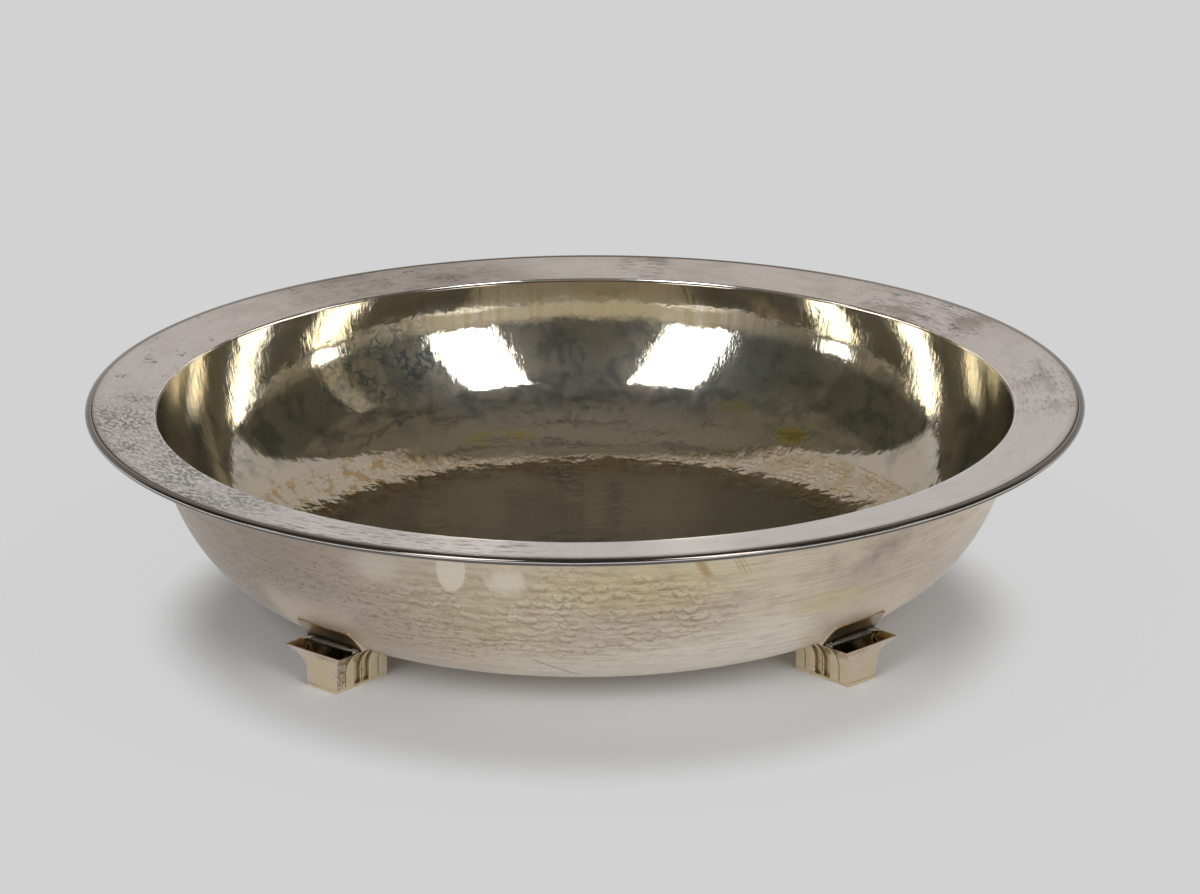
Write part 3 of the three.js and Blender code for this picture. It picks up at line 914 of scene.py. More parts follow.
def foot_silver(colours, sizes):
    """Warm silver, pinkish along its edges, and brown inside the trough, where the near-black is partly
    painted shade.
    """
    finish = Finish("Foot Silver")
    outwards, aside, z = foot_place(finish, sizes)
    share = finish.ease_straight(z, sizes.flare_start, sizes.lip_height)
    flare = finish.times(share, share)
    behind_face = finish.sums("MULTIPLY_ADD", flare, sizes.flare_out, sizes.depth / 2)
    behind_face = finish.sums("SUBTRACT", behind_face, outwards)
    behind_side = finish.sums("MULTIPLY_ADD", flare, sizes.flare_side, sizes.width / 2)
    behind_side = finish.sums("SUBTRACT", behind_side, aside)
    clouds = finish.cloud(150.0, 3.0, 0.6)
    on_face = finish.fade(behind_face, 0.0005, 0.0008)
    on_side = finish.fade(behind_side, 0.0005, 0.0008)
    fringe = finish.over(
        finish.times(finish.fade(behind_side, 0.0004, 0.0035), on_face),
        finish.ease(z, 0.0125, 0.016),
    )
    pink = finish.over(finish.times(fringe, 0.9), finish.ease(clouds, 0.45, 0.65, 0.0, 0.7))
    base = finish.blend(pink, colours.foot, colours.foot_pink)
    stains = finish.cloud(420.0, 4.0, 0.65)
    distance = finish.sums("ABSOLUTE", outwards)
    speckled = finish.times(
        finish.patch((-0.0965, -0.119, 0.009), (0.012, 0.012, 0.02), 0.2),
        finish.ease(distance, 0.0094, 0.0097),
        on_side,
        finish.ease(behind_face, 0.0003, 0.0006),
    )
    scrawl = finish.ease(finish.cloud(1000.0, 3.0, 0.6, 1.5), 0.44, 0.54)
    groove = (sizes.bay + sizes.depth) / 4
    scribed = finish.sums("ABSOLUTE", finish.sums("SUBTRACT", distance, groove))
    scribed = finish.times(
        finish.fade(scribed, 0.0001, 0.0004), on_side, finish.fade(z, 0.0135, 0.0145)
    )
    low_line = finish.times(
        finish.fade(finish.sums("SUBTRACT", z, sizes.sole), 0.0001, 0.0004), on_face
    )
    # Stains, a scribed line, the seam line, and darkening in narrow corners.
    dirt = finish.over(
        finish.ease(stains, 0.6, 0.7, 0.0, 0.35),
        finish.times(speckled, scrawl, 0.85),
        finish.times(scribed, finish.ease(stains, 0.35, 0.5, 0.5, 0.9)),
        finish.times(low_line, finish.ease(clouds, 0.35, 0.6, 0.2, 0.7)),
        crease(finish, 0.0015, 0.35, 0.8, 0.6),
    )
    base = finish.blend(dirt, base, colours.brown)
    # Painted shade: the inside of each trough is painted nearly black lower down and browner near the
    # lip, partly tarnish.
    within = finish.times(
        finish.ease(behind_face, 0.0004, 0.0006),
        finish.ease(behind_side, 0.0004, 0.0006),
        finish.ease(outwards, 0.0066, 0.007),
    )
    deep = finish.blend(finish.ease(z, 0.0125, 0.0165), colours.trough, colours.saddle_film_and_shade)
    base = finish.blend(finish.times(within, 0.92), base, deep)
    roughness = finish.ease(clouds, 0.35, 0.7, 0.16, 0.3)
    normal = finish.bump(finish.cloud(160.0, 2.0, 0.5), 0.0001)
    return finish.end(base, roughness, normal)


def saddle_silver(colours, sizes):
    """Silver like the foot's, with a brown film down its front, partly painted shade, darkest at its
    foot.
    """
    finish = Finish("Saddle Silver")
    outwards, aside, z = foot_place(finish, sizes)
    clouds = finish.cloud(150.0, 3.0, 0.6)
    base = finish.blend(finish.ease(clouds, 0.4, 0.62), colours.foot, colours.foot_pink)
    share = finish.ease_straight(z, sizes.lip_height, sizes.lip_height + sizes.saddle_rise)
    face = finish.sums("POWER", share, SADDLE_CURVE)
    face = finish.sums("MULTIPLY_ADD", face, sizes.saddle_lean, sizes.saddle_offset)
    depth = finish.sums("SUBTRACT", face, outwards)
    front = finish.fade(depth, 0.0003, 0.0005)
    # Painted shade: the front is painted brown for the shade of the hollow it faces, partly a real film.
    film = finish.times(front, finish.ease(clouds, 0.3, 0.7, 1.0, 0.75))
    base = finish.blend(film, base, colours.saddle_film_and_shade)
    # Painted shade: the front turns to the trough's near-black towards its foot.
    low = finish.times(front, finish.ease(share, 0.1, 0.5, 0.85, 0.0))
    base = finish.blend(low, base, colours.trough)
    roughness = finish.between(front, finish.ease(clouds, 0.35, 0.7, 0.18, 0.32), 0.38)
    normal = finish.bump(finish.cloud(160.0, 2.0, 0.5), 0.0001)
    return finish.end(base, roughness, normal)


def reed_silver(colours):
    """Silver reeds on a brown ground, darker in its narrow corners."""
    finish = Finish("Reed Silver")
    stains = finish.cloud(500.0, 3.0, 0.6)
    # Stains, and darkening in narrow corners.
    dirt = finish.over(
        crease(finish, 0.0022, 0.4, 0.8, 0.8), finish.ease(stains, 0.5, 0.7, 0.1, 0.5)
    )
    base = finish.blend(dirt, colours.foot, colours.brown)
    roughness = finish.between(dirt, 0.22, 0.5)
    normal = finish.bump(stains, 0.00005)
    return finish.end(base, roughness, normal)


def bar_silver(colours, sizes):
    """The cross bar painted near-black below its bead, as painted shade inside the trough, and rough
    greenish solder along its top.
    """
    finish = Finish("Bar Silver")
    z = finish.split(finish.place)[2]
    lumps = finish.cloud(750.0, 4.0, 0.65)
    bead = finish.ease(z, sizes.lip_height - 0.0012, sizes.lip_height - 0.0004)
    solder = finish.blend(finish.ease(lumps, 0.5, 0.66), colours.slate, colours.solder)
    # Painted shade: below the bead the bar takes the trough's near-black colour.
    base = finish.blend(bead, colours.trough, solder)
    roughness = finish.ease(lumps, 0.4, 0.65, 0.5, 0.24)
    normal = finish.bump(finish.times(lumps, bead), 0.0004)
    return finish.end(base, roughness, normal)


def web_silver(colours):
    """Bright silver, a little dull, on the small webs of the trough."""
    finish = Finish("Web Silver")
    finish.metal.inputs["Metallic"].default_value = 0.35
    clouds = finish.cloud(600.0, 3.0, 0.6)
    base = finish.blend(finish.ease(clouds, 0.4, 0.66, 0.6, 0.95), colours.rim, colours.brown)
    normal = finish.bump(clouds, 0.0001)
    return finish.end(base, finish.ease(clouds, 0.3, 0.7, 0.3, 0.45), normal)


def sole_silver(colours):
    """Dull silver, darker at the seam above it."""
    finish = Finish("Sole Silver")
    clouds = finish.cloud(200.0, 4.0, 0.6)
    z = finish.split(finish.place)[2]
    dirt = finish.over(finish.ease(z, 0.0010, 0.0012, 0.0, 0.3), finish.ease(clouds, 0.5, 0.8, 0.0, 0.4))
    base = finish.blend(dirt, colours.foot, colours.brown)
    roughness = finish.ease(clouds, 0.3, 0.7, 0.25, 0.45)
    normal = finish.bump(clouds, 0.0001)
    return finish.end(base, roughness, normal)


# The bowl


class BOWL_OT_body(bpy.types.Operator):
    """Spins the raised wall of the bowl and gives it a glossy inside and a satin outside"""

    bl_idname = "bowl.body"
    bl_label = "Body"

    def execute(self, context):
        sizes = context.scene.bowl_sizes
        top = rim_face(sizes, sizes.rim_radius - sizes.rim_width) - sizes.rim_sheet
        outer = body_line(sizes, 0.0, top, WALL_STEPS)
        inner = body_line(sizes, -sizes.wall, top, WALL_STEPS)
        piece = line("bowl_wall", [*reversed(outer), *inner])
        spin(piece, ROUND_STEPS)
        dents = bpy.data.textures.new("hammered unevenness", "CLOUDS")
        dents.noise_scale = 0.045
        dents.noise_depth = 1
        modify(
            piece,
            "DISPLACE",
            texture=dents,
            texture_coords="LOCAL",
            strength=sizes.dents,
            mid_level=0.5,
        )
        smooth(piece)
        colours = context.scene.silver_colours
        outside = outside_silver(colours, context.scene.foot_sizes)
        inside = inside_silver(colours)
        finish_piece(piece, "body_silver", "body_shell", outside, inside)
        for face in piece.data.polygons:
            face.material_index = int(face.normal.z > 0)
        return {"FINISHED"}


class BOWL_OT_rim(bpy.types.Operator):
    """Spins the flat rim plate with its eased inner edge"""

    bl_idname = "bowl.rim"
    bl_label = "Rim plate"

    def execute(self, context):
        sizes = context.scene.bowl_sizes
        inner = sizes.rim_radius - sizes.rim_width
        outer = sizes.rim_radius - 2 * sizes.wire_radius + HAIR
        ease = Vector((inner + sizes.rim_ease, 0.0, rim_face(sizes, inner) - sizes.rim_ease))
        section = [Vector((inner, 0.0, rim_face(sizes, inner) - sizes.rim_sheet))]
        section.append(Vector((outer, 0.0, rim_face(sizes, outer) - sizes.rim_sheet)))
        section.append(Vector((outer, 0.0, rim_face(sizes, outer))))
        for i in range(1, RIM_FACE_STEPS + 1):
            across = outer + (inner + 2 * sizes.rim_ease - outer) * i / RIM_FACE_STEPS
            section.append(Vector((across, 0.0, rim_face(sizes, across))))
        section.extend(arc(ease, sizes.rim_ease, pi / 2, pi, 6))
        section.append(section[0])
        piece = line("rim_ring", section)
        spin(piece, ROUND_STEPS)
        smooth(piece)
        finish_piece(piece, "rim_silver", "rim_plate", rim_silver(context.scene.silver_colours))
        return {"FINISHED"}


class BOWL_OT_wire(bpy.types.Operator):
    """Spins the round wire along the rim's outer edge"""

    bl_idname = "bowl.wire"
    bl_label = "Rim wire"

    def execute(self, context):
        sizes = context.scene.bowl_sizes
        middle = Vector(
            (sizes.rim_radius - sizes.wire_radius, 0.0, sizes.height - sizes.wire_radius)
        )
        section = arc(middle, sizes.wire_radius, 0.0, 2 * pi, 20)
        piece = line("rim_edge_wire", section)
        spin(piece, ROUND_STEPS)
        smooth(piece, 60)
        finish_piece(piece, "wire_silver", "rim_wire", wire_silver(context.scene.silver_colours))
        return {"FINISHED"}


# The feet


def flare_at(sizes, height):
    """How far a foot's side stands out at a height, as a share of the full flare."""
    share = (height - sizes.flare_start) / (sizes.lip_height - sizes.flare_start)
    return max(0.0, share) ** 2


def foot_levels(sizes, top):
    """Heights at which a foot's sheet is bent."""
    levels = [sizes.sole - SUNK, sizes.flare_start]
    for i in range(1, 11):
        levels.append(sizes.flare_start + (top - sizes.flare_start) * i / 10)
    return levels


def raise_wall(sizes, piece, levels, front):
    """Extrudes a foot's drawn line upwards and flares it level by level."""
    for low, high in zip(levels, levels[1:]):
        extrude(0.0, 0.0, high - low)
        more = flare_at(sizes, high) - flare_at(sizes, low)
        for sign in (-1, 1):
            pick(piece, lambda p: abs(p.z - high) < SAME_PLACE and p.y * sign > SAME_PLACE)
            bpy.ops.transform.translate(value=(0.0, sign * more * sizes.flare_side, 0.0))
        pick(piece, lambda p: abs(p.z - high) < SAME_PLACE and p.x > front)
        bpy.ops.transform.translate(value=(more * sizes.flare_out, 0.0, 0.0))
        pick(piece, lambda p: abs(p.z - high) < SAME_PLACE)


def corner_points(x, y, radius, start, height, steps=4):
    """Points of a rounded upright corner whose faces would meet at (x, y)."""
    middle_x = x - radius * (1 if x > 0 else -1)
    middle_y = y - radius * (1 if y > 0 else -1)
    points = []
    for i in range(steps + 1):
        turn = start + pi / 2 * i / steps
        points.append(
            Vector((middle_x + radius * cos(turn), middle_y + radius * sin(turn), height))
        )
    return points


def shell_outline(sizes):
    """Half a foot's sheet seen from above, turned in at the bay in each of its two sides."""
    height = sizes.sole - SUNK
    side = sizes.width / 2
    end = sizes.bay / 2
    face = sizes.depth / 2
    groove = (end + face) / 2
    half = sizes.groove / 2
    inward = sizes.sheet
    back = end + 0.0001
    ground = -side + sizes.bay_depth + HAIR
    low = [
        Vector((back, ground, height)),
        Vector((end, -side + TUCKED, height)),
        Vector((end + BEND, -side + BEND, height)),
        Vector((end + TUCKED, -side, height)),
        Vector((groove - half, -side, height)),
        Vector((groove, -side + half, height)),
        Vector((groove + half, -side, height)),
        *corner_points(face, -side, sizes.corner, -pi / 2, height),
    ]
    within = [
        Vector((face - inward, -side + inward, height)),
        Vector((back + inward, -side + inward, height)),
        Vector((back + inward, ground, height)),
    ]
    return [*low, *mirrored(low), *mirrored(within), *within]


def mirrored(points):
    """The same points on the other side of the foot, in the opposite order."""
    return [Vector((p.x, -p.y, p.z)) for p in reversed(points)]


def strip_outline(sizes):
    """The strip behind a bay seen from above, with its two round reeds."""
    height = sizes.sole - SUNK
    ground = sizes.width / 2 - sizes.bay_depth
    half = sizes.bay / 2 + TUCKED
    radius = sizes.reed_width / 2
    top = sizes.width / 2 - HAIR - radius
    back = ground - STRIP_SHEET
    points = [Vector((-half, back, height)), Vector((half, back, height))]
    points.append(Vector((half, ground, height)))
    for middle in (sizes.reed_spacing / 2, -sizes.reed_spacing / 2):
        points.append(Vector((middle + radius, ground, height)))
        for i in range(REED_STEPS + 1):
            turn = pi * i / REED_STEPS
            points.append(Vector((middle + radius * cos(turn), top + radius * sin(turn), height)))
        points.append(Vector((middle - radius, ground, height)))
    points.append(Vector((-half, ground, height)))
    return points


def body_cutter(sizes):
    """The whole outside of the body as a solid, to trim what stands under it."""
    top = sizes.height - 0.01
    profile = body_line(sizes, CUTTER_GAP, top, CUTTER_WALL_STEPS)
    piece = line("body_cutter", [Vector((0.0, 0.0, top)), *profile])
    spin(piece, CUTTER_STEPS)
    return piece


def to_foot(context, piece, turn=0.0):
    """Turns a piece about its own middle and carries it out to the first foot's place."""
    piece.rotation_euler.z = turn
    piece.location.x = context.scene.foot_sizes.reach
    hold(piece)
    bpy.ops.object.transform_apply(location=True, rotation=True, scale=True)


def trim(context, piece):
    """Cuts away what would reach into the bowl's body."""
    cutter = body_cutter(context.scene.bowl_sizes)
    modify(piece, "BOOLEAN", operation="DIFFERENCE", solver="EXACT", object=cutter)
    hold(cutter)
    bpy.ops.object.delete()


def on_every_foot(piece, label, node, slot, *materials):
    """Puts a copy of a finished piece on each foot and takes the first one away."""
    for place, azimuth in FEET.items():
        hold(piece)
        bpy.ops.object.duplicate(linked=False)
        copy = bpy.context.object
        copy.name = f"{place}_{label}"
        copy.data.name = copy.name
        copy.rotation_euler.z = azimuth
        bpy.ops.object.transform_apply(location=True, rotation=True, scale=True)
        finish_piece(copy, slot, f"{place}_foot_{node}", *materials)
    hold(piece)
    bpy.ops.object.delete()


class BOWL_OT_soles(bpy.types.Operator):
    """Adds the flat sole of each foot"""

    bl_idname = "bowl.soles"
    bl_label = "Soles"

    def execute(self, context):
        sizes = context.scene.foot_sizes
        face = sizes.depth / 2
        side = sizes.width / 2
        outline = [
            *corner_points(face, -side, sizes.corner, -pi / 2, 0.0),
            *corner_points(face, side, sizes.corner, 0.0, 0.0),
            *corner_points(-face, side, sizes.corner, pi / 2, 0.0),
            *corner_points(-face, -side, sizes.corner, pi, 0.0),
        ]
        piece = outlined("sole", outline)
        extrude(0.0, 0.0, sizes.sole)
        close_up(piece)
        ease_edges(piece, 0.00012)
        smooth(piece)
        to_foot(context, piece)
        material = sole_silver(context.scene.silver_colours)
        on_every_foot(piece, "sole_plate", "sole", "sole_silver", material)
        return {"FINISHED"}


def bent_halves(context, outline, front, slot, material, halves, edge=0.0):
    """Bends a sheet from its outline, as it is and turned half round, for each foot."""
    sizes = context.scene.foot_sizes
    for (label, node), turn in zip(halves, (0.0, pi)):
        piece = outlined(label, outline(sizes))
        raise_wall(sizes, piece, foot_levels(sizes, sizes.lip_height), front)
        close_up(piece)
        if edge:
            ease_edges(piece, edge)
        smooth(piece)
        to_foot(context, piece, turn)
        trim(context, piece)
        on_every_foot(piece, label, node, slot, material)


class BOWL_OT_foot_sheets(bpy.types.Operator):
    """Adds the outer and the inner bent sheet of each foot"""

    bl_idname = "bowl.foot_sheets"
    bl_label = "Foot sheets"

    def execute(self, context):
        sizes = context.scene.foot_sizes
        material = foot_silver(context.scene.silver_colours, sizes)
        halves = (("outer_sheet", "outer_shell"), ("inner_sheet", "inner_shell"))
        front = sizes.depth / 2 - 2 * sizes.corner
        bent_halves(context, shell_outline, front, "foot_silver", material, halves, 0.00018)
        return {"FINISHED"}


class BOWL_OT_reeds(bpy.types.Operator):
    """Adds the reeded strips in both sides of each foot"""

    bl_idname = "bowl.reeds"
    bl_label = "Reeds"

    def execute(self, context):
        sizes = context.scene.foot_sizes
        material = reed_silver(context.scene.silver_colours)
        halves = (("left_reed_strip", "left_reeds"), ("right_reed_strip", "right_reeds"))
        bent_halves(context, strip_outline, sizes.depth, "reed_silver", material, halves)
        return {"FINISHED"}


def web_outline(sizes, front, height):
    """A small triangle in the corner between the bar and the foot's side, seen from above."""
    side = sizes.width / 2 + sizes.flare_side * flare_at(sizes, height) - sizes.sheet
    return [
        Vector((front, side, height)),
        Vector((front, side - sizes.web, height)),
        Vector((front + sizes.web, side, height)),
    ]


class BOWL_OT_bars(bpy.types.Operator):
    """Adds the cross bar inside each foot, with its bead of solder and a web in each corner"""

    bl_idname = "bowl.bars"
    bl_label = "Cross bars"

    def solder(self, sizes, across, height):
        """A round bead that runs along the top of the bar and thins out at both ends."""
        half = sizes.width / 2 + BEAD_PAST_SIDE
        outline = []
        for i in range(BEAD_SIDES):
            turn = 2 * pi * i / BEAD_SIDES
            rise = sizes.bead * sin(turn)
            outline.append(Vector((across + sizes.bead * cos(turn), -half, height + rise)))
        bead = outlined("bead", outline)
        for i in range(BEAD_STEPS):
            extrude(0.0, 2 * half / BEAD_STEPS, 0.0)
        close_up(bead)
        edit(bead)
        for i in (0, 1, 2, BEAD_STEPS - 2, BEAD_STEPS - 1, BEAD_STEPS):
            station = -half + 2 * half * i / BEAD_STEPS
            thin = BEAD_THINNING[min(i, BEAD_STEPS - i)]
            pick(bead, lambda p: abs(p.y - station) < SAME_PLACE)
            bpy.ops.transform.resize(
                value=(thin, 1.0, thin), center_override=(across, station, height)
            )
        bpy.ops.object.mode_set(mode="OBJECT")
        return bead

    def execute(self, context):
        sizes = context.scene.foot_sizes
        near = sizes.saddle_offset + HAIR
        front = near + sizes.bar
        side = sizes.width / 2 - sizes.sheet
        height = sizes.sole - SUNK
        outline = [
            Vector((near, -side, height)),
            Vector((front, -side, height)),
            Vector((front, side, height)),
            Vector((near, side, height)),
        ]
        piece = outlined("cross_bar", outline)
        top = sizes.lip_height - 0.0004
        raise_wall(sizes, piece, foot_levels(sizes, top), sizes.depth)
        close_up(piece)
        ease_edges(piece, 0.0003)
        solder = self.solder(sizes, near + 0.0010, top + HAIR)
        webs = []
        corner = web_outline(sizes, near, top + HAIR)
        for outline in (corner, mirrored(corner)):
            web = outlined("web", outline)
            extrude(0.0, 0.0, WEB_SHEET)
            close_up(web)
            ease_edges(web, 0.0001)
            webs.append(web)
        hold(piece)
        solder.select_set(True)
        bpy.ops.object.join()
        bar_faces = len(piece.data.polygons)
        for web in webs:
            web.select_set(True)
        bpy.ops.object.join()
        for face in piece.data.polygons:
            face.material_index = int(face.index >= bar_faces)
        smooth(piece, 50)
        to_foot(context, piece)
        colours = context.scene.silver_colours
        materials = (bar_silver(colours, sizes), web_silver(colours))
        on_every_foot(piece, "bar", "cross_bar", "reed_silver", *materials)
        return {"FINISHED"}


class BOWL_OT_saddles(bpy.types.Operator):
    """Adds the leaning saddle that carries the bowl on each foot"""

    bl_idname = "bowl.saddles"
    bl_label = "Saddles"

    def execute(self, context):
        sizes = context.scene.foot_sizes
        side = sizes.width / 2 + sizes.flare_side
        front = sizes.saddle_offset
        back = front - sizes.saddle_return
        level = sizes.lip_height
        low = [
            Vector((back, -side + SADDLE_SHEET, level)),
            Vector((back, -side, level)),
            *corner_points(front, -side, SADDLE_CORNER, -pi / 2, level, 2),
        ]
        high = mirrored(low)
        high.append(Vector((front - SADDLE_SHEET, side - SADDLE_SHEET, level)))
        high.append(Vector((front - SADDLE_SHEET, -side + SADDLE_SHEET, level)))
        piece = outlined("saddle", [*low, *high])
        for i in range(1, SADDLE_STEPS + 1):
            before = (i - 1) / SADDLE_STEPS
            after = i / SADDLE_STEPS
            extrude(0.0, 0.0, sizes.saddle_rise / SADDLE_STEPS)
            level = sizes.lip_height + sizes.saddle_rise * after
            lean = sizes.saddle_lean * (after**SADDLE_CURVE - before**SADDLE_CURVE)
            pick(piece, lambda p: abs(p.z - level) < SAME_PLACE and p.x > back + SADDLE_BACK_EDGE)
            bpy.ops.transform.translate(value=(lean, 0.0, 0.0))
            late = after**SADDLE_NARROWS_LATE - before**SADDLE_NARROWS_LATE
            narrow = SADDLE_NARROWING * late
            for sign in (-1, 1):
                pick(piece, lambda p: abs(p.z - level) < SAME_PLACE and p.y * sign > 0)
                bpy.ops.transform.translate(value=(0.0, -sign * narrow, 0.0))
            pick(piece, lambda p: abs(p.z - level) < SAME_PLACE)
        close_up(piece)
        ease_edges(piece, 0.00012)
        smooth(piece)
        to_foot(context, piece)
        trim(context, piece)
        material = saddle_silver(context.scene.silver_colours, sizes)
        on_every_foot(piece, "saddle_plate", "saddle", "foot_silver", material)
        return {"FINISHED"}


# The studio


def floor_material(studio):
    """A pale floor that keeps the bowl's shadow near it and is even further out."""
    material = bpy.data.materials.new("Pale Floor")
    material.use_nodes = True
    material.node_tree.nodes.clear()
    floor = Recipe(material.node_tree)
    lit = floor.shader("ShaderNodeBsdfDiffuse", studio.shaded)
    even = floor.shader("ShaderNodeEmission", studio.ground)
    away = floor.moves("LENGTH", floor.place)
    beside = floor.moves("LENGTH", floor.moves("ADD", floor.place, (0.0, 0.04, 0.0)))
    near = floor.ease(beside, 0.144, 0.182, 0.0, 0.95)
    far = floor.ease(away, 0.19, 0.25)
    rays = floor.add("ShaderNodeLightPath").outputs
    seen = floor.times(floor.over(near, far), rays["Is Camera Ray"])
    reflected = floor.times(floor.ease(away, 0.10, 0.22, 0.35, 1.0), rays["Is Glossy Ray"])
    output = floor.add("ShaderNodeOutputMaterial")
    both = floor.mix(floor.over(seen, reflected), lit, even)
    floor.feed(output.inputs["Surface"], both)
    return material


def studio_world(studio):
    """A dim room with a pale backdrop behind the bowl and a soft box at each side in front."""
    world = bpy.data.worlds.new("Studio Room")
    world.use_nodes = True
    world.node_tree.nodes.clear()
    room = Recipe(world.node_tree)
    direction = room.add("ShaderNodeTexCoord").outputs["Generated"]
    x, y, z = room.split(direction)
    turn = room.sums("DEGREES", room.sums("ARCTAN2", x, room.times(y, -1.0)))
    rise = room.sums("DEGREES", room.sums("ARCSINE", z))
    aside = room.sums("ABSOLUTE", turn)
    inner = room.sums("MULTIPLY_ADD", rise, -0.24, 28.0)
    outer = room.sums("MULTIPLY_ADD", rise, -0.1, 44.5)
    box = room.times(
        room.ease(room.sums("SUBTRACT", aside, inner), -0.6, 0.6),
        room.fade(room.sums("SUBTRACT", aside, outer), -0.6, 0.6),
        room.band(rise, 10.5, 11.5, 45.0, 46.5),
    )
    strip = room.times(room.band(aside, 71.0, 72.5, 80.0, 81.5), room.band(rise, 4.5, 5.5, 9.0, 10.0))
    behind = room.times(room.ease(aside, 119.0, 121.5), room.fade(rise, 55.0, 64.0))
    clouds = room.noise(direction, 5.0, 3.0, 0.6)
    base = room.blend(room.ease(aside, 48.0, 75.0), studio.room, studio.room_side)
    base = room.blend(room.ease(rise, 54.0, 80.0), base, studio.ceiling)
    base = room.blend(room.ease(clouds, 0.5, 0.68, 0.0, 0.5), base, DARK_CORNERS)
    screen = room.times(
        room.band(aside, 80.0, 81.5, 118.0, 119.5), room.band(rise, 10.5, 12.0, 35.0, 38.0)
    )
    base = room.blend(room.times(screen, 0.85), base, studio.screen)
    post = room.times(room.band(turn, 72.0, 73.0, 79.5, 80.5), room.fade(rise, 36.5, 39.0))
    base = room.blend(post, base, studio.post)
    seam = room.times(
        room.band(turn, 56.0, 58.0, 111.0, 114.0), room.band(rise, 50.4, 51.0, 52.4, 53.0)
    )
    base = room.blend(room.times(seam, 0.8), base, studio.screen)
    low = room.times(
        room.fade(rise, 7.0, 12.0),
        room.ease(aside, 25.0, 80.0, 1.0, 0.25),
        room.ease(turn, -70.0, -15.0, 0.7, 1.0),
    )
    base = room.blend(low, base, studio.low_wall)
    backdrop = room.blend(room.ease(rise, 8.0, 24.0), studio.ground, studio.backdrop)
    base = room.blend(behind, base, backdrop)
    bright = room.times(box, studio.window)
    bright = room.sums("MULTIPLY_ADD", strip, studio.window * 0.6, bright)
    scaled = room.add("ShaderNodeVectorMath", operation="SCALE")
    room.feed(scaled.inputs[0], (1.0, 1.0, 1.0))
    room.feed(scaled.inputs["Scale"], bright)
    light = room.moves("ADD", base, scaled.outputs[0])
    surround = room.shader("ShaderNodeBackground", light)
    plain = room.shader("ShaderNodeBackground", studio.ground)
    seen = room.add("ShaderNodeLightPath").outputs["Is Camera Ray"]
    output = room.add("ShaderNodeOutputWorld")
    room.feed(output.inputs["Surface"], room.mix(seen, surround, plain))
    return world


def camera_stand(studio, middle):
    """The camera's place and turn, from its angles about the middle of the rim."""
    seen_across = (RIM_MIDDLE_SEEN[0] - PHOTO_MIDDLE[0]) / FOCAL_PIXELS
    seen_down = (RIM_MIDDLE_SEEN[1] - PHOTO_MIDDLE[1]) / FOCAL_PIXELS
    away = Vector((0.0, -cos(studio.elevation), sin(studio.elevation)))
    forward = -away
    right = Vector((1.0, 0.0, 0.0))
    up = right.cross(forward)
    axes = Matrix((right, up, forward)).transposed()
    aim = Vector((seen_across, -seen_down, 1.0)).normalized()
    swing = aim.rotation_difference(Vector((0.0, 0.0, 1.0))).to_matrix()
    axes = axes @ Matrix.Rotation(studio.roll, 3, "Z") @ swing
    turn = Matrix.Rotation(studio.side, 3, "Z")
    axes = turn @ axes
    stand = axes.copy()
    stand.col[2] = -axes.col[2]
    stand = stand.to_4x4()
    stand.translation = turn @ away * studio.distance + middle
    return stand


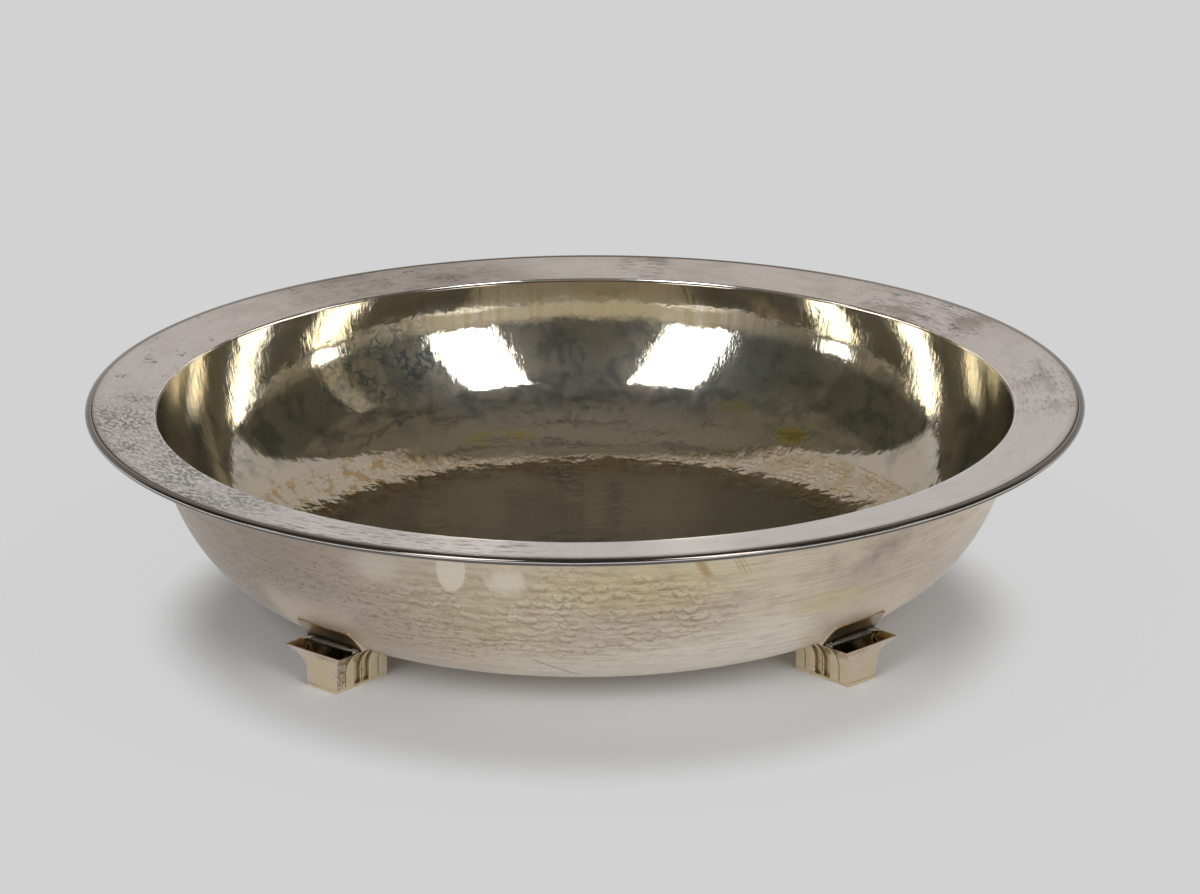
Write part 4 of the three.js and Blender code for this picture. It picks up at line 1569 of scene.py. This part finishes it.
class BOWL_OT_studio(bpy.types.Operator):
    """Adds the pale floor, the soft studio light and the camera"""

    bl_idname = "bowl.studio"
    bl_label = "Studio"

    def execute(self, context):
        scene = context.scene
        studio = scene.studio_settings
        let_go()
        bpy.ops.mesh.primitive_circle_add(
            vertices=128, radius=20.0, fill_type="NGON", location=(0.0, 0.0, -0.0001)
        )
        floor = context.object
        floor.name = "floor"
        floor.data.materials.append(floor_material(studio))
        scene.world = studio_world(studio)
        bpy.ops.object.light_add(type="SUN", location=(0.0, 0.0, 1.5))
        overhead = context.object
        overhead.name = "overhead"
        overhead.data.angle = radians(50)
        overhead.data.color = studio.overhead
        overhead.data.energy = studio.overhead_power
        overhead.visible_glossy = False
        middle = Vector((0.0, 0.0, scene.bowl_sizes.height))
        stand = camera_stand(studio, middle)
        bpy.ops.object.camera_add()
        camera = context.object
        camera.name = "camera"
        camera.matrix_world = stand
        camera.data.sensor_width = 36.0
        camera.data.sensor_fit = "HORIZONTAL"
        camera.data.lens = studio.lens
        camera.data.clip_start = 0.05
        camera.data.clip_end = 100.0
        scene.camera = camera
        scene.view_settings.view_transform = "Standard"
        return {"FINISHED"}


GROUPS = {
    "bowl_sizes": BowlSizes,
    "foot_sizes": FootSizes,
    "silver_colours": SilverColours,
    "studio_settings": StudioSettings,
}
OPERATORS = (
    BOWL_OT_body,
    BOWL_OT_rim,
    BOWL_OT_wire,
    BOWL_OT_soles,
    BOWL_OT_foot_sheets,
    BOWL_OT_reeds,
    BOWL_OT_bars,
    BOWL_OT_saddles,
    BOWL_OT_studio,
)


class BOWL_PT_workshop(bpy.types.Panel):
    """The bowl's pieces, sizes and colours"""

    bl_idname = "BOWL_PT_workshop"
    bl_label = "Silver Bowl"
    bl_space_type = "VIEW_3D"
    bl_region_type = "UI"
    bl_category = "Silver Bowl"

    def draw(self, context):
        column = self.layout.column(align=True)
        for operator in OPERATORS:
            column.operator(operator.bl_idname)
        for group in GROUPS:
            settings = getattr(context.scene, group)
            box = self.layout.box()
            for name in settings.__annotations__:
                box.prop(settings, name)


CLASSES = (*GROUPS.values(), *OPERATORS, BOWL_PT_workshop)


def register():
    """Makes the sizes, the operators and the panel known."""
    for item in CLASSES:
        bpy.utils.register_class(item)
    for name, group in GROUPS.items():
        setattr(bpy.types.Scene, name, bpy.props.PointerProperty(type=group))


def unregister():
    """Takes them away again."""
    for name in GROUPS:
        delattr(bpy.types.Scene, name)
    for item in reversed(CLASSES):
        bpy.utils.unregister_class(item)


def main():
    """Models the whole bowl and its studio."""
    register()
    bpy.ops.bowl.body()
    bpy.ops.bowl.rim()
    bpy.ops.bowl.wire()
    bpy.ops.bowl.soles()
    bpy.ops.bowl.foot_sheets()
    bpy.ops.bowl.reeds()
    bpy.ops.bowl.bars()
    bpy.ops.bowl.saddles()
    bpy.ops.bowl.studio()


if __name__ == "__main__":
    main()
